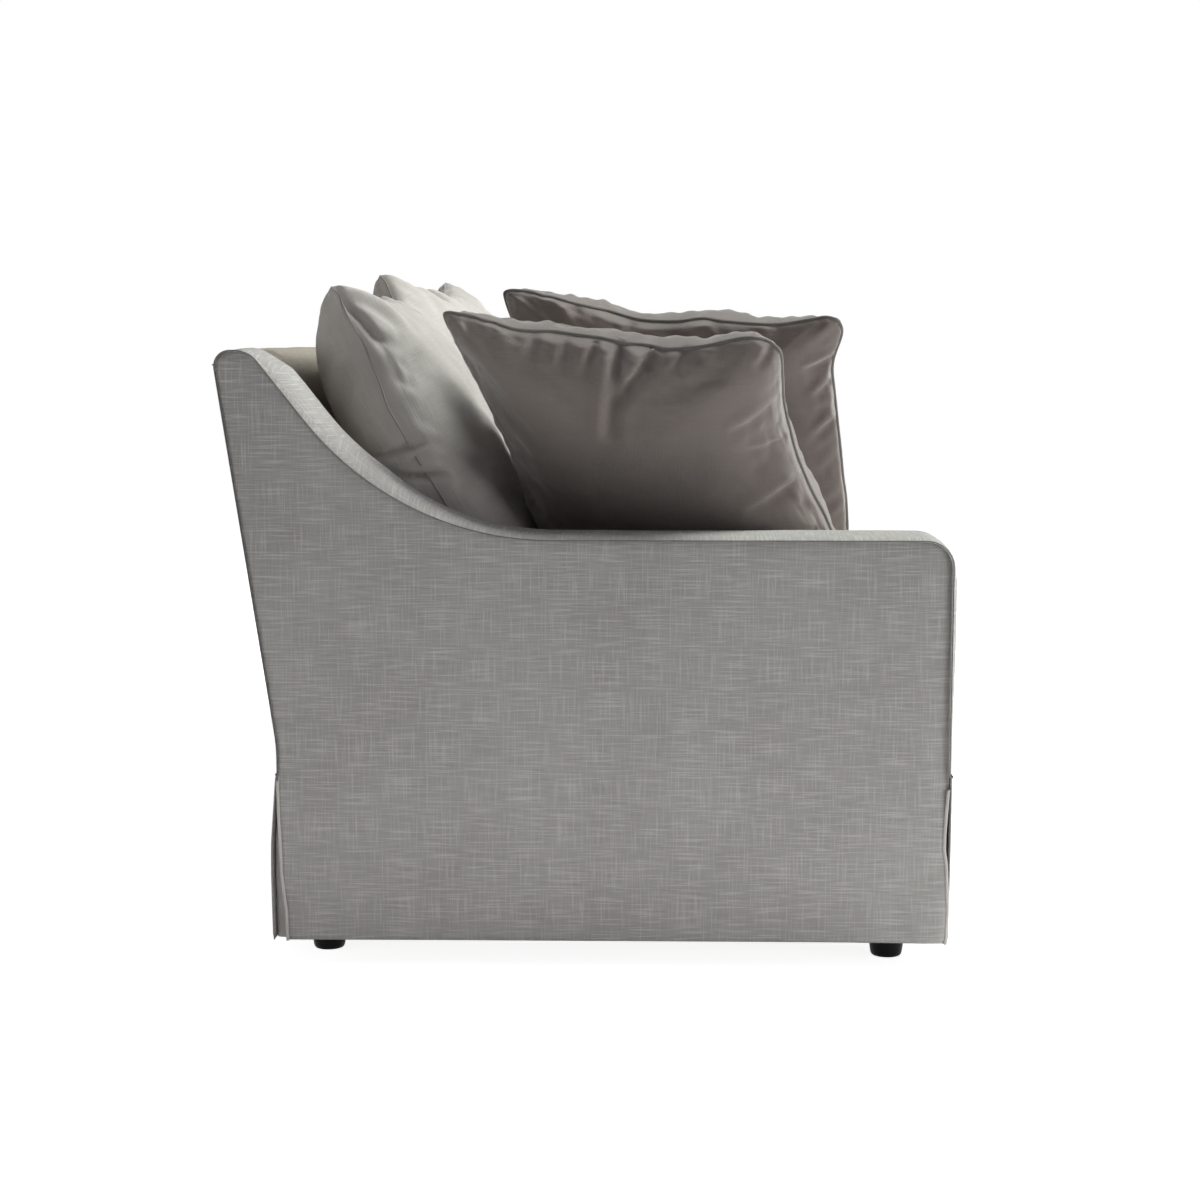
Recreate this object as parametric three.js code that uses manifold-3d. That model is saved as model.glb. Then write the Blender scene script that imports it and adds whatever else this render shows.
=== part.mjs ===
import * as THREE from 'three';
import { mergeGeometries, mergeVertices } from 'three/addons/utils/BufferGeometryUtils.js';
import Module from 'manifold-3d';

const wasm = await Module();
wasm.setup();

// A three-seat skirted sofa with scooped arms, in millimetres.
// X runs along the seat, the front faces -Y, Z is up and the floor is at Z zero.

// Overall sizes
const overallLength = 2080;
const overallDepth = 1044;
const backHeight = 886;
const armHeight = 620;
const armThickness = 170;
const hemHeight = 40;
const waistHeight = 283;

// Clearances
const gap = 0.3;
const softGap = 0.6;
const cutOverrun = 40;
const weld = 1e-3;

// Arm outline, seen from the side: its scoop in shares of the overall depth
const slopeRunShare = 0.2;
const sweepShare = 0.4224;
const crestSetback = 53.2;
const crestRadius = 40;
const armCornerRadius = 38;
const rearCornerRadius = 22;

// Back outline, seen from the side
const backRakeDeg = 8.3;
const kneeHeight = 326;
const kneeRadius = 260;
const backTopThickness = 66;
const innerRakeDeg = 22;
const backCornerRadius = 28;
const innerBackBottom = 300;

// Covers
const padding = 18;
const edgeRound = 6;
const panelThickness = 4;
const insideArmBottom = 268;
const pleatOpening = 16;
const pleatReach = 62;
const pleatThickness = 3;
const pleatTopDrop = 10;
const pleatHemRise = 8;
const skirtFlare = 8.6;
const skirtInset = 4;
const outsideBackDrop = 22;

// Timber frame
const footHeight = 75;
const railThickness = 32;
const railDepth = 185;
const postWidth = 110;
const boardThickness = 22;
const plywood = 25;
const springRailDepth = 85;
const springRailSetback = 7;
const stretcherWidth = 45;
const stretcherDepth = 60;
const cornerBlockLeg = 80;
const cornerBlockDepth = 80;
const topRailDepth = 55;
const lowerRailDepth = 70;
const lowerRailHeight = 540;
const backPostInset = 40;
const rearPostSetback = 6.4;

// Feet
const footTopRadius = 27;
const footBottomRadius = 23.5;
const footChamfer = 4;
const frontFootInset = 87;
const rearFootInset = 112;
const frontFootSetback = 81;
const rearFootSetback = 138;

// Seat platform
const deckTop = 318;
const deckThickness = 26;
const borderDepth = 74;
const borderRadius = 24;
const borderSetback = 4;
const wireRadius = 1.9;
const springWidth = 50;
const springBends = 17;
const springHookDrop = 13;
const springsPerSeat = 4;
const clipWidth = 18;
const clipHeight = 12;
const clipThickness = 4;
const dustThickness = 1.5;
const dustInset = 5;

// Loose cushions
const seatCount = 3;
const cushionGap = 6;
const seatBoxing = 144;
const seatCrown = 12;
const seatFrontSetback = 6;
const seatRearGap = 6;
const seatDrawIn = 7;
const seatBulge = 5;
const seatEdgeRound = 9;
const backCushionGap = 16;
const backCushionFront = 112;
const backCushionRear = 112;
const backCushionFootReach = 179;
const backCushionDrawIn = 20;
const leftBackCushion = { height: 586, leanDeg: 27.6 };
const middleBackCushion = { height: 604, leanDeg: 26 };
const rightBackCushion = { height: 616, leanDeg: 25 };

// Throw pillows
const pillowSize = 508;
const pillowDrawIn = 17;
const pillowTurnDeg = 11;
const nearPillow = {
  height: 508, front: 62, rear: 78, leanDeg: 35, rollDeg: 6.7,
  slumpShare: 0.265, taperShare: 0.1, fromArm: 46, fromRear: 626, standShare: 0.4786,
};
const farPillow = {
  height: 530, front: 78, rear: 62, leanDeg: 31, rollDeg: 6.3,
  slumpShare: 0.14, taperShare: 0.12, fromArm: 198, fromRear: 664, standShare: 0.4889,
};

// Facets
const facetDeg = 7;
const cushionCells = 14;
const seatCells = 10;
const footFacets = 20;
const stepsPerBend = 3;
const wireSides = 4;

// Derived sizes
const halfLength = overallLength / 2;
const frontY = -overallDepth / 2;
const rearY = overallDepth / 2;
const innerLength = overallLength - 2 * armThickness;
const innerHalf = innerLength / 2;
const seatPitch = innerLength / seatCount;
const springSpacing = seatPitch / springsPerSeat;
const slopeRun = overallDepth * slopeRunShare;
const slope = Math.atan2(backHeight - armHeight, slopeRun);
const sweepRadius = overallDepth * sweepShare;
const backRake = Math.tan(THREE.MathUtils.degToRad(backRakeDeg));
const innerRake = THREE.MathUtils.degToRad(innerRakeDeg);
const panelTop = backHeight - outsideBackDrop;
const kneeY = rearY - (panelTop - kneeHeight) * backRake;
const panelInset = panelThickness + gap;
const crestY = rearFaceY(backHeight) - crestSetback;
const slopeFootY = crestY - slopeRun;
const railBottom = footHeight + gap;
const railTop = railBottom + railDepth;
const postFrontY = frontY + padding + gap;
const postRearY = postFrontY + railThickness;
const rearPostY = kneeY - panelInset - rearPostSetback - railThickness;
const armCentre = halfLength - armThickness / 2;
const postInnerX = armCentre - postWidth / 2;
const sideRailInnerX = armCentre - railThickness / 2 - gap;
const backInset = padding + gap;
const deckBottom = deckTop - deckThickness;
const seatSurface = deckTop + gap + seatBoxing + softGap;
const springRailY = backFaceY(railTop) + springRailSetback;

// Colours
function material(color, roughness, metalness = 0) {
  return new THREE.MeshStandardMaterial({ color, roughness, metalness });
}
const linen = () => material(0x9a948f, 0.95);
const cushionLinen = () => material(0xaaa49d, 0.95);
const pillowCloth = () => material(0x857c74, 0.95);
const beech = () => material(0xc39a6b, 0.6);
const birchPly = () => material(0xcfb083, 0.65);
const springSteel = () => material(0x8a8d90, 0.4, 0.9);
const blackCambric = () => material(0x1d1c1c, 0.9);
const blackFoot = () => material(0x16130f, 0.5);
const deckCloth = () => material(0xb9b3aa, 0.95);

const sofa = new THREE.Group();

function add(name, geometry, finish, parent = sofa) {
  const mesh = new THREE.Mesh(geometry, finish);
  mesh.name = name;
  parent.add(mesh);
  return mesh;
}

// Height-to-depth lines of the back: its raked rear face and its inner face.
function rearFaceY(z) {
  return kneeY + Math.max(z - kneeHeight, 0) * backRake;
}

function backFaceY(z) {
  return rearY - backTopThickness - (backHeight - z) * Math.tan(innerRake);
}

// Points of a line through corners, each corner rounded by an arc of its own radius.
function roundedLine(corners, closed) {
  const points = [];
  const count = corners.length;
  corners.forEach((corner, i) => {
    const here = new THREE.Vector2(corner.y, corner.z);
    const atEnd = !closed && (i === 0 || i === count - 1);
    if (atEnd || !corner.r) {
      points.push(here);
      return;
    }
    const before = corners[(i + count - 1) % count];
    const after = corners[(i + 1) % count];
    const a = new THREE.Vector2(before.y, before.z).sub(here).normalize();
    const b = new THREE.Vector2(after.y, after.z).sub(here).normalize();
    const opening = Math.acos(a.dot(b));
    const turn = Math.PI - opening;
    const reach = corner.r / Math.sin(opening / 2);
    const centre = here.clone().addScaledVector(a.clone().add(b).normalize(), reach);
    const tangent = corner.r / Math.tan(opening / 2);
    const start = here.clone().addScaledVector(a, tangent).sub(centre);
    const way = Math.sign(a.x * b.y - a.y * b.x);
    const pieces = Math.max(2, Math.ceil(THREE.MathUtils.radToDeg(turn) / facetDeg));
    for (let k = 0; k <= pieces; k += 1) {
      const spoke = start.clone().rotateAround(new THREE.Vector2(), -way * turn * k / pieces);
      points.push(centre.clone().add(spoke));
    }
  });
  return points;
}

// A side outline in Y and Z, carried along X.
const sideToWorld = new THREE.Matrix4().set(0, 0, 1, 0, 1, 0, 0, 0, 0, 1, 0, 0, 0, 0, 0, 1);

function carried(points, fromX, toX, bevel = 0) {
  const shape = new THREE.Shape(points);
  const geometry = new THREE.ExtrudeGeometry(shape, {
    depth: toX - fromX - 2 * bevel,
    bevelEnabled: bevel > 0,
    bevelSize: bevel,
    bevelThickness: bevel,
    bevelOffset: -bevel,
    bevelSegments: 2,
    curveSegments: 1,
  });
  geometry.translate(0, 0, fromX + bevel);
  return geometry.applyMatrix4(sideToWorld);
}

function block(x0, x1, y0, y1, z0, z1) {
  const geometry = new THREE.BoxGeometry(x1 - x0, y1 - y0, z1 - z0);
  return geometry.translate((x0 + x1) / 2, (y0 + y1) / 2, (z0 + z1) / 2);
}

function addBlock(name, sizes, at, finish) {
  const mesh = add(name, new THREE.BoxGeometry(...sizes), finish);
  mesh.position.set(...at);
  return mesh;
}

// Booleans
function solidOf(geometry) {
  const bare = geometry.clone();
  bare.deleteAttribute('normal');
  bare.deleteAttribute('uv');
  const merged = mergeVertices(bare, weld);
  const triVerts = new Uint32Array(merged.index.array);
  const vertProperties = new Float32Array(merged.attributes.position.array);
  return new wasm.Manifold(new wasm.Mesh({ numProp: 3, vertProperties, triVerts }));
}

function geometryOf(solid) {
  const mesh = solid.getMesh();
  const geometry = new THREE.BufferGeometry();
  geometry.setAttribute('position', new THREE.BufferAttribute(mesh.vertProperties, 3));
  geometry.setIndex(new THREE.BufferAttribute(mesh.triVerts, 1));
  return geometry;
}

function cut(geometry, ...tools) {
  let solid = solidOf(geometry);
  for (const tool of tools) {
    solid = solid.subtract(solidOf(tool));
  }
  return geometryOf(solid);
}

function joined(geometry, ...others) {
  let solid = solidOf(geometry);
  for (const other of others) {
    solid = solid.add(solidOf(other));
  }
  return geometryOf(solid);
}

function mirrored(geometry) {
  const flipped = geometry.clone().scale(-1, 1, 1);
  turnFaces(flipped);
  return flipped;
}

// The arm's outline, drawn in by an inset: front, padded top with its scoop, raked rear.
function armTop(inset, startY, endY) {
  const half = Math.tan(slope / 2);
  return [
    { y: startY, z: armHeight - inset, r: Math.max(armCornerRadius - inset, edgeRound) },
    { y: slopeFootY + inset * half, z: armHeight - inset, r: sweepRadius + inset },
    { y: crestY + inset * half, z: backHeight - inset, r: Math.max(crestRadius - inset, edgeRound) },
    { y: endY, z: backHeight - inset, r: rearCornerRadius },
  ];
}

function armOutline(inset, rearInset, bottom) {
  const top = armTop(inset, frontY + inset, rearFaceY(backHeight) - rearInset);
  return roundedLine([
    { y: frontY + inset, z: bottom },
    ...top,
    { y: kneeY - rearInset, z: kneeHeight, r: kneeRadius },
    { y: kneeY - rearInset, z: bottom },
  ].reverse(), true);
}

function backOutline(inset, rearInset, bottom, top = backHeight - inset) {
  const forward = inset / Math.cos(innerRake);
  const knee = { y: kneeY - rearInset, z: kneeHeight, r: kneeRadius };
  return roundedLine([
    { y: backFaceY(bottom) + forward, z: bottom },
    { y: rearFaceY(bottom) - rearInset, z: bottom },
    ...(bottom < kneeHeight ? [knee] : []),
    { y: rearFaceY(top) - rearInset, z: top, r: Math.max(rearCornerRadius - inset, 0) },
    { y: backFaceY(top) + forward, z: top, r: Math.max(backCornerRadius - inset, 0) },
  ], true);
}

// Hardwood seat frame
function buildSeatFrame() {
  const railMid = railBottom + railDepth / 2;
  const crossLength = 2 * (postInnerX - gap);
  const frontMid = (postFrontY + postRearY) / 2;
  addBlock('front_seat_rail', [crossLength, railThickness, railDepth], [0, frontMid, railMid], beech());
  const rearMid = rearPostY + railThickness / 2;
  addBlock('rear_base_rail', [crossLength, railThickness, railDepth], [0, rearMid, railMid], beech());
  const sideStart = postRearY + gap;
  const sideEnd = rearPostY - gap;
  const sideLength = sideEnd - sideStart;
  const sideMid = (sideStart + sideEnd) / 2;
  for (const [side, sign] of [['left', -1], ['right', 1]]) {
    const at = [sign * armCentre, sideMid, railMid];
    addBlock(`side_rail_${side}`, [railThickness, sideLength, railDepth], at, beech());
    const stretcherAt = [sign * seatPitch / 2, sideMid, railBottom + stretcherDepth / 2];
    addBlock(`cross_stretcher_${side}`, [stretcherWidth, sideLength, stretcherDepth], stretcherAt, beech());
  }
  const springRailAt = [0, springRailY + railThickness / 2, railTop - springRailDepth / 2];
  addBlock('rear_spring_rail', [2 * sideRailInnerX, railThickness, springRailDepth], springRailAt, beech());
}

// Triangular blocks glued and screwed into the corners of the seat frame
function buildCornerBlocks() {
  const corners = [['front', postRearY + gap, 1], ['rear', rearPostY - gap, -1]];
  for (const [end, y, inward] of corners) {
    for (const [side, sign] of [['left', -1], ['right', 1]]) {
      const shape = new THREE.Shape();
      shape.moveTo(0, 0);
      shape.lineTo(-sign * cornerBlockLeg, 0);
      shape.lineTo(0, inward * cornerBlockLeg);
      shape.closePath();
      const geometry = new THREE.ExtrudeGeometry(shape, { depth: cornerBlockDepth, bevelEnabled: false });
      const piece = add(`corner_block_${end}_${side}`, geometry, beech());
      piece.position.set(sign * sideRailInnerX, y, railBottom);
    }
  }
}

// Arm frames: two posts and a bent top board on each side
function buildArmFrames() {
  const boardInset = padding + gap;
  const boardEnd = rearFaceY(backHeight) - panelInset - padding;
  const under = boardInset + boardThickness;
  const boardFront = { y: postFrontY, z: armHeight - under };
  const top = roundedLine([boardFront, ...armTop(boardInset, postFrontY, boardEnd)]);
  const bottom = roundedLine([boardFront, ...armTop(under, postFrontY, boardEnd).slice(1)]);
  const board = [...bottom, ...top.slice(1).reverse()];
  const frontTop = armHeight - under - gap;
  const postHeight = frontTop - railBottom;
  const slopeDrop = (under + gap) / Math.cos(slope);
  const slopeTop = (y) => armHeight + (y - slopeFootY) * Math.tan(slope) - slopeDrop;
  const rearPost = [
    new THREE.Vector2(rearPostY, railBottom),
    new THREE.Vector2(rearPostY + railThickness, railBottom),
    new THREE.Vector2(rearPostY + railThickness, slopeTop(rearPostY + railThickness)),
    new THREE.Vector2(rearPostY, slopeTop(rearPostY)),
  ];
  for (const [side, sign] of [['left', -1], ['right', 1]]) {
    const x0 = sign * armCentre - postWidth / 2;
    const x1 = sign * armCentre + postWidth / 2;
    const postAt = [sign * armCentre, postFrontY + railThickness / 2, railBottom + postHeight / 2];
    addBlock(`arm_front_post_${side}`, [postWidth, railThickness, postHeight], postAt, beech());
    add(`arm_rear_post_${side}`, carried(rearPost, x0, x1), beech());
    add(`arm_top_board_${side}`, carried(board, x0, x1), birchPly());
  }
}

// Back frame: shaped plywood posts and uprights, notched for the lower rail, under a top rail
function buildBackFrame() {
  const topRailBottom = backHeight - backInset - topRailDepth;
  const whole = carried(backOutline(backInset, panelInset + gap, topRailBottom), -innerHalf, innerHalf);
  const railEnd = innerHalf - 2 * gap;
  const topRail = cut(
    whole,
    block(railEnd, innerHalf + cutOverrun, 0, overallDepth, 0, overallLength),
    block(-innerHalf - cutOverrun, -railEnd, 0, overallDepth, 0, overallLength),
  );
  add('back_top_rail', topRail, beech());

  const faceAt = (z, depth) => backFaceY(z) + (backInset + depth) / Math.cos(innerRake);
  const railBand = (clearance, forward) => {
    const low = lowerRailHeight - clearance;
    const high = lowerRailHeight + lowerRailDepth + clearance;
    return [
      new THREE.Vector2(faceAt(low, -forward), low),
      new THREE.Vector2(faceAt(low, plywood + clearance), low),
      new THREE.Vector2(faceAt(high, plywood + clearance), high),
      new THREE.Vector2(faceAt(high, -forward), high),
    ];
  };
  add('back_lower_rail', carried(railBand(0, 0), -railEnd, railEnd), beech());

  const postTop = topRailBottom - gap;
  const outline = backOutline(backInset, panelInset + gap, railTop + gap, postTop);
  const stations = [
    ['back_post_left', -innerHalf + backPostInset],
    ['back_upright_left', -seatPitch / 2],
    ['back_upright_right', seatPitch / 2],
    ['back_post_right', innerHalf - backPostInset],
  ];
  for (const [name, x] of stations) {
    const x0 = x - plywood / 2;
    const x1 = x + plywood / 2;
    const notch = carried(railBand(gap, cutOverrun), x0 - cutOverrun, x1 + cutOverrun);
    add(name, cut(carried(outline, x0, x1), notch), birchPly());
  }
}

// Turned, tapered feet under the side rails
function buildFeet() {
  const profile = [
    new THREE.Vector2(0, 0),
    new THREE.Vector2(footBottomRadius - footChamfer, 0),
    new THREE.Vector2(footBottomRadius, footChamfer),
    new THREE.Vector2(footTopRadius, footHeight - footChamfer),
    new THREE.Vector2(footTopRadius - footChamfer, footHeight),
    new THREE.Vector2(0, footHeight),
  ];
  const places = [
    ['front', frontFootInset, frontY + frontFootSetback],
    ['rear', rearFootInset, rearY - rearFootSetback],
  ];
  for (const [end, inset, y] of places) {
    for (const [side, sign] of [['left', -1], ['right', 1]]) {
      const geometry = new THREE.LatheGeometry(profile, footFacets);
      geometry.rotateX(Math.PI / 2);
      const foot = add(`foot_${end}_${side}`, geometry, blackFoot());
      foot.position.set(sign * (halfLength - inset), y, 0);
    }
  }
}

// Sinuous springs: each one wire bent side to side, arched, with a clip at both ends
function buildSprings() {
  const startY = postRearY + gap;
  const endY = springRailY - gap;
  const hookZ = railTop - springHookDrop;
  const rise = deckBottom - gap - wireRadius - hookZ;
  const run = endY - startY;
  const amplitude = springWidth / 2 - wireRadius;
  const arch = (share) => hookZ + rise * (1 - (2 * share - 1) ** 2);
  const points = [new THREE.Vector3(0, startY + clipThickness / 2, hookZ)];
  for (let i = 1; i <= springBends; i += 1) {
    const share = i / (springBends + 1);
    const swing = i % 2 ? amplitude : -amplitude;
    const pitch = run / (springBends + 1) / 4;
    points.push(new THREE.Vector3(swing, startY + share * run - pitch, arch(share)));
    points.push(new THREE.Vector3(swing, startY + share * run + pitch, arch(share)));
  }
  points.push(new THREE.Vector3(0, endY - clipThickness / 2, hookZ));
  const smooth = new THREE.CatmullRomCurve3(points, false, 'centripetal');
  const section = new THREE.Shape();
  for (let i = 0; i < wireSides; i += 1) {
    const angle = 2 * Math.PI * (i + 1 / 2) / wireSides;
    const corner = [wireRadius * Math.cos(angle), wireRadius * Math.sin(angle)];
    if (i === 0) {
      section.moveTo(...corner);
    } else {
      section.lineTo(...corner);
    }
  }
  const steps = springBends * stepsPerBend + 2;
  const wire = new THREE.ExtrudeGeometry(section, { steps, extrudePath: smooth, bevelEnabled: false });
  const clipLow = hookZ - clipHeight / 2;
  const clip = (y0, y1) => block(-clipWidth / 2, clipWidth / 2, y0, y1, clipLow, clipLow + clipHeight);
  const spring = joined(wire, clip(startY, startY + clipThickness), clip(endY - clipThickness, endY));
  const total = seatCount * springsPerSeat;
  for (let i = 0; i < total; i += 1) {
    const seat = Math.floor(i / springsPerSeat);
    const seatX = (seat - (seatCount - 1) / 2) * seatPitch;
    const offset = (i % springsPerSeat - (springsPerSeat - 1) / 2) * springSpacing;
    const piece = add(`seat_spring_${String(i + 1).padStart(2, '0')}`, spring.clone(), springSteel());
    piece.position.x = seatX + offset;
  }
}

// Sprung edge, deck and dust cover
function buildPlatform() {
  const borderFront = frontY + borderSetback;
  const borderRear = frontY + borderSetback + borderDepth;
  const border = roundedLine([
    { y: borderFront, z: waistHeight + gap },
    { y: postFrontY - gap, z: waistHeight + gap },
    { y: postFrontY - gap, z: railTop + gap },
    { y: borderRear, z: railTop + gap },
    { y: borderRear, z: deckTop },
    { y: borderFront, z: deckTop, r: borderRadius },
  ], true);
  const halfSpan = innerHalf - 2 * gap;
  add('front_border', carried(border, -halfSpan, halfSpan), linen());
  const deckFront = borderRear + gap;
  const deckRear = backFaceY(deckBottom) - gap;
  const deckAt = [0, (deckFront + deckRear) / 2, (deckTop + deckBottom) / 2];
  addBlock('seat_deck', [2 * halfSpan, deckRear - deckFront, deckThickness], deckAt, deckCloth());
  const dustSpan = 2 * (postInnerX - dustInset);
  const dustFront = postFrontY + dustInset;
  const dustRear = rearPostY + railThickness - dustInset;
  const dustAt = [0, (dustFront + dustRear) / 2, footHeight - dustThickness / 2];
  addBlock('dust_cover', [dustSpan, dustRear - dustFront, dustThickness], dustAt, blackCambric());
}

// Upholstered arm casings: one padded shell a side, open below, behind and towards the rails
function buildArmCovers() {
  const bottom = hemHeight - edgeRound;
  const outer = carried(armOutline(0, panelInset, bottom), -halfLength, -innerHalf, edgeRound);
  const hollow = carried(
    armOutline(padding, panelInset - cutOverrun, bottom - cutOverrun),
    -halfLength + padding,
    -innerHalf - padding,
  );
  const below = block(-overallLength, 0, -overallDepth, overallDepth, -cutOverrun, hemHeight);
  const railWay = block(
    -innerHalf - padding - gap,
    -innerHalf + cutOverrun,
    -overallDepth,
    overallDepth,
    -cutOverrun,
    insideArmBottom,
  );
  const pleatWay = block(
    -overallLength,
    0,
    -overallDepth,
    frontY + pleatOpening,
    -cutOverrun,
    waistHeight + gap,
  );
  const skirtWay = block(
    -halfLength + padding,
    0,
    -overallDepth,
    frontY + padding + gap,
    -cutOverrun,
    waistHeight + gap,
  );
  const left = cut(outer, hollow, below, railWay, pleatWay, skirtWay);
  add('arm_cover_left', left, linen());
  add('arm_cover_right', mirrored(left), linen());
}

// Inside back and top band, outside back, and the front and rear skirts
function buildBackCovers() {
  const half = innerHalf - gap;
  const outside = backOutline(0, panelInset, innerBackBottom);
  const inside = backOutline(padding, panelInset - cutOverrun, innerBackBottom - cutOverrun);
  const shell = cut(carried(outside, -half, half), carried(inside, -half - cutOverrun, half + cutOverrun));
  add('back_cover', shell, linen());

  const panel = roundedLine([
    { y: kneeY - panelThickness, z: waistHeight + gap },
    { y: kneeY, z: waistHeight + gap },
    { y: kneeY, z: kneeHeight, r: kneeRadius },
    { y: rearFaceY(panelTop), z: panelTop },
    { y: rearFaceY(panelTop) - panelThickness, z: panelTop },
    { y: kneeY - panelThickness, z: kneeHeight, r: kneeRadius },
  ], true);
  add('outside_back_panel', carried(panel, -halfLength, halfLength), linen());

  const skirtHalf = halfLength - skirtInset;
  const skirtHeight = waistHeight - hemHeight;
  const skirtAt = [0, frontY + panelThickness / 2, hemHeight + skirtHeight / 2];
  addBlock('front_skirt', [2 * skirtHalf, panelThickness, skirtHeight], skirtAt, linen());
  const rearSkirt = [
    new THREE.Vector2(kneeY + skirtFlare - panelThickness, hemHeight),
    new THREE.Vector2(kneeY + skirtFlare, hemHeight),
    new THREE.Vector2(kneeY, waistHeight),
    new THREE.Vector2(kneeY - panelThickness, waistHeight),
  ];
  add('rear_skirt', carried(rearSkirt, -skirtHalf, skirtHalf), linen());
}

// Kick-pleat underlays: an angle of cloth behind each open corner of the skirt
function buildPleats() {
  const height = waistHeight - pleatTopDrop - hemHeight - pleatHemRise;
  const ends = [
    ['front', frontY + panelThickness + gap, 1],
    ['rear', rearPostY + railThickness + gap + pleatThickness, -1],
  ];
  for (const [end, y, inward] of ends) {
    for (const [side, sign] of [['left', -1], ['right', 1]]) {
      const shape = new THREE.Shape();
      shape.moveTo(0, 0);
      shape.lineTo(-sign * pleatReach, 0);
      shape.lineTo(-sign * pleatReach, inward * pleatThickness);
      shape.lineTo(-sign * pleatThickness, inward * pleatThickness);
      shape.lineTo(-sign * pleatThickness, inward * pleatReach);
      shape.lineTo(0, inward * pleatReach);
      shape.closePath();
      const geometry = new THREE.ExtrudeGeometry(shape, { depth: height, bevelEnabled: false });
      const piece = add(`corner_pleat_${end}_${side}`, geometry, linen());
      piece.position.set(sign * (halfLength - padding - gap), y, hemHeight + pleatHemRise);
    }
  }
}

// A grid of points over a square, closer together towards its edges; flipped, it faces down.
function sheet(cells, place, flipped = false) {
  const geometry = new THREE.PlaneGeometry(2, 2, cells, cells);
  const position = geometry.attributes.position;
  for (let i = 0; i < position.count; i += 1) {
    const u = Math.sin(Math.PI / 2 * position.getX(i));
    const v = Math.sin(Math.PI / 2 * position.getY(i));
    position.setXYZ(i, ...place(u, v));
  }
  geometry.deleteAttribute('normal');
  geometry.deleteAttribute('uv');
  if (flipped) {
    turnFaces(geometry);
  }
  return geometry;
}

function turnFaces(geometry) {
  const order = geometry.index.array;
  for (let i = 0; i < order.length; i += 3) {
    [order[i], order[i + 1]] = [order[i + 1], order[i]];
  }
}

// Fullness of a filled cushion, from one in the middle to zero at its seams
const fullnessPowerShare = 0.45;

function fullness(u, v) {
  return Math.max((1 - u * u) * (1 - v * v), 0) ** fullnessPowerShare;
}

function knifeEdgeCushion({ width, height, front, rear, drawIn, slumpShare = 0, taperShare = 0 }) {
  const outline = (u, v) => {
    const y = v * (height / 2 - drawIn * (1 - u * u));
    const x = u * (width / 2 - drawIn * (1 - v * v));
    return [x * (1 - taperShare * (1 - v) / 2) + slumpShare * y, y];
  };
  const upper = sheet(cushionCells, (u, v) => [...outline(u, v), front * fullness(u, v)]);
  const lower = sheet(cushionCells, (u, v) => [...outline(u, v), -rear * fullness(u, v)], true);
  return mergeVertices(mergeGeometries([upper, lower]), weld);
}

// A boxed seat cushion: flat below, crowned above, its boxing bulged and its seams drawn in
function boxedCushion(width, depth, height) {
  const crown = (u, v) => seatCrown * (1 - u ** 4) * (1 - v ** 4);
  const seam = (u, v, draw) => [
    u * (width / 2 - draw * (1 - v * v)),
    v * (depth / 2 - draw * (1 - u * u)),
  ];
  const top = sheet(seatCells, (u, v) => [...seam(u, v, seatDrawIn), height + crown(u, v)]);
  const bottom = sheet(seatCells, (u, v) => [...seam(u, v, seatDrawIn), 0], true);
  const rims = [[0, seatDrawIn], [seatEdgeRound, seatDrawIn - seatBulge], [height / 2, 0],
    [height - seatEdgeRound, seatDrawIn - seatBulge], [height, seatDrawIn]];
  const walls = [];
  for (let k = 1; k < rims.length; k += 1) {
    walls.push(rimBand(seam, rims[k - 1], rims[k]));
  }
  return mergeVertices(mergeGeometries([top, bottom, ...walls]), weld);
}

function rimBand(seam, low, high) {
  const around = [];
  const step = 2 / seatCells;
  for (let side = 0; side < 4; side += 1) {
    for (let i = 0; i < seatCells; i += 1) {
      const along = Math.sin(Math.PI / 2 * (-1 + i * step));
      around.push([[along, -1], [1, along], [-along, 1], [-1, -along]][side]);
    }
  }
  const points = [];
  for (const [z, draw] of [low, high]) {
    for (const [u, v] of around) {
      points.push(...seam(u, v, draw), z);
    }
  }
  const count = around.length;
  const order = [];
  for (let i = 0; i < count; i += 1) {
    const next = (i + 1) % count;
    order.push(i, next, count + next, i, count + next, count + i);
  }
  const geometry = new THREE.BufferGeometry();
  geometry.setAttribute('position', new THREE.Float32BufferAttribute(points, 3));
  geometry.setIndex(order);
  return geometry;
}

// Three loose seat cushions and three loose back cushions
function buildCushions() {
  const width = seatPitch - cushionGap;
  const seatFront = frontY + seatFrontSetback;
  const seatRear = backFaceY(deckTop) - seatRearGap;
  const seat = boxedCushion(width, seatRear - seatFront, seatBoxing);
  const footY = backFaceY(seatSurface) - backCushionFootReach;
  const seats = [
    ['left', leftBackCushion],
    ['middle', middleBackCushion],
    ['right', rightBackCushion],
  ];
  seats.forEach(([name, { height, leanDeg }], i) => {
    const x = (i - (seatCount - 1) / 2) * seatPitch;
    const seatPiece = add(`seat_cushion_${name}`, seat.clone(), cushionLinen());
    seatPiece.position.set(x, (seatFront + seatRear) / 2, deckTop + gap);
    const back = knifeEdgeCushion({
      width: seatPitch - backCushionGap,
      height,
      front: backCushionFront,
      rear: backCushionRear,
      drawIn: backCushionDrawIn,
    });
    const lean = THREE.MathUtils.degToRad(leanDeg);
    const backPiece = add(`back_cushion_${name}`, back, cushionLinen());
    backPiece.rotation.x = Math.PI / 2 - lean;
    const centreY = footY + height / 2 * Math.sin(lean);
    const centreZ = seatSurface + height / 2 * Math.cos(lean);
    backPiece.position.set(x, centreY, centreZ);
  });
}

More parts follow.
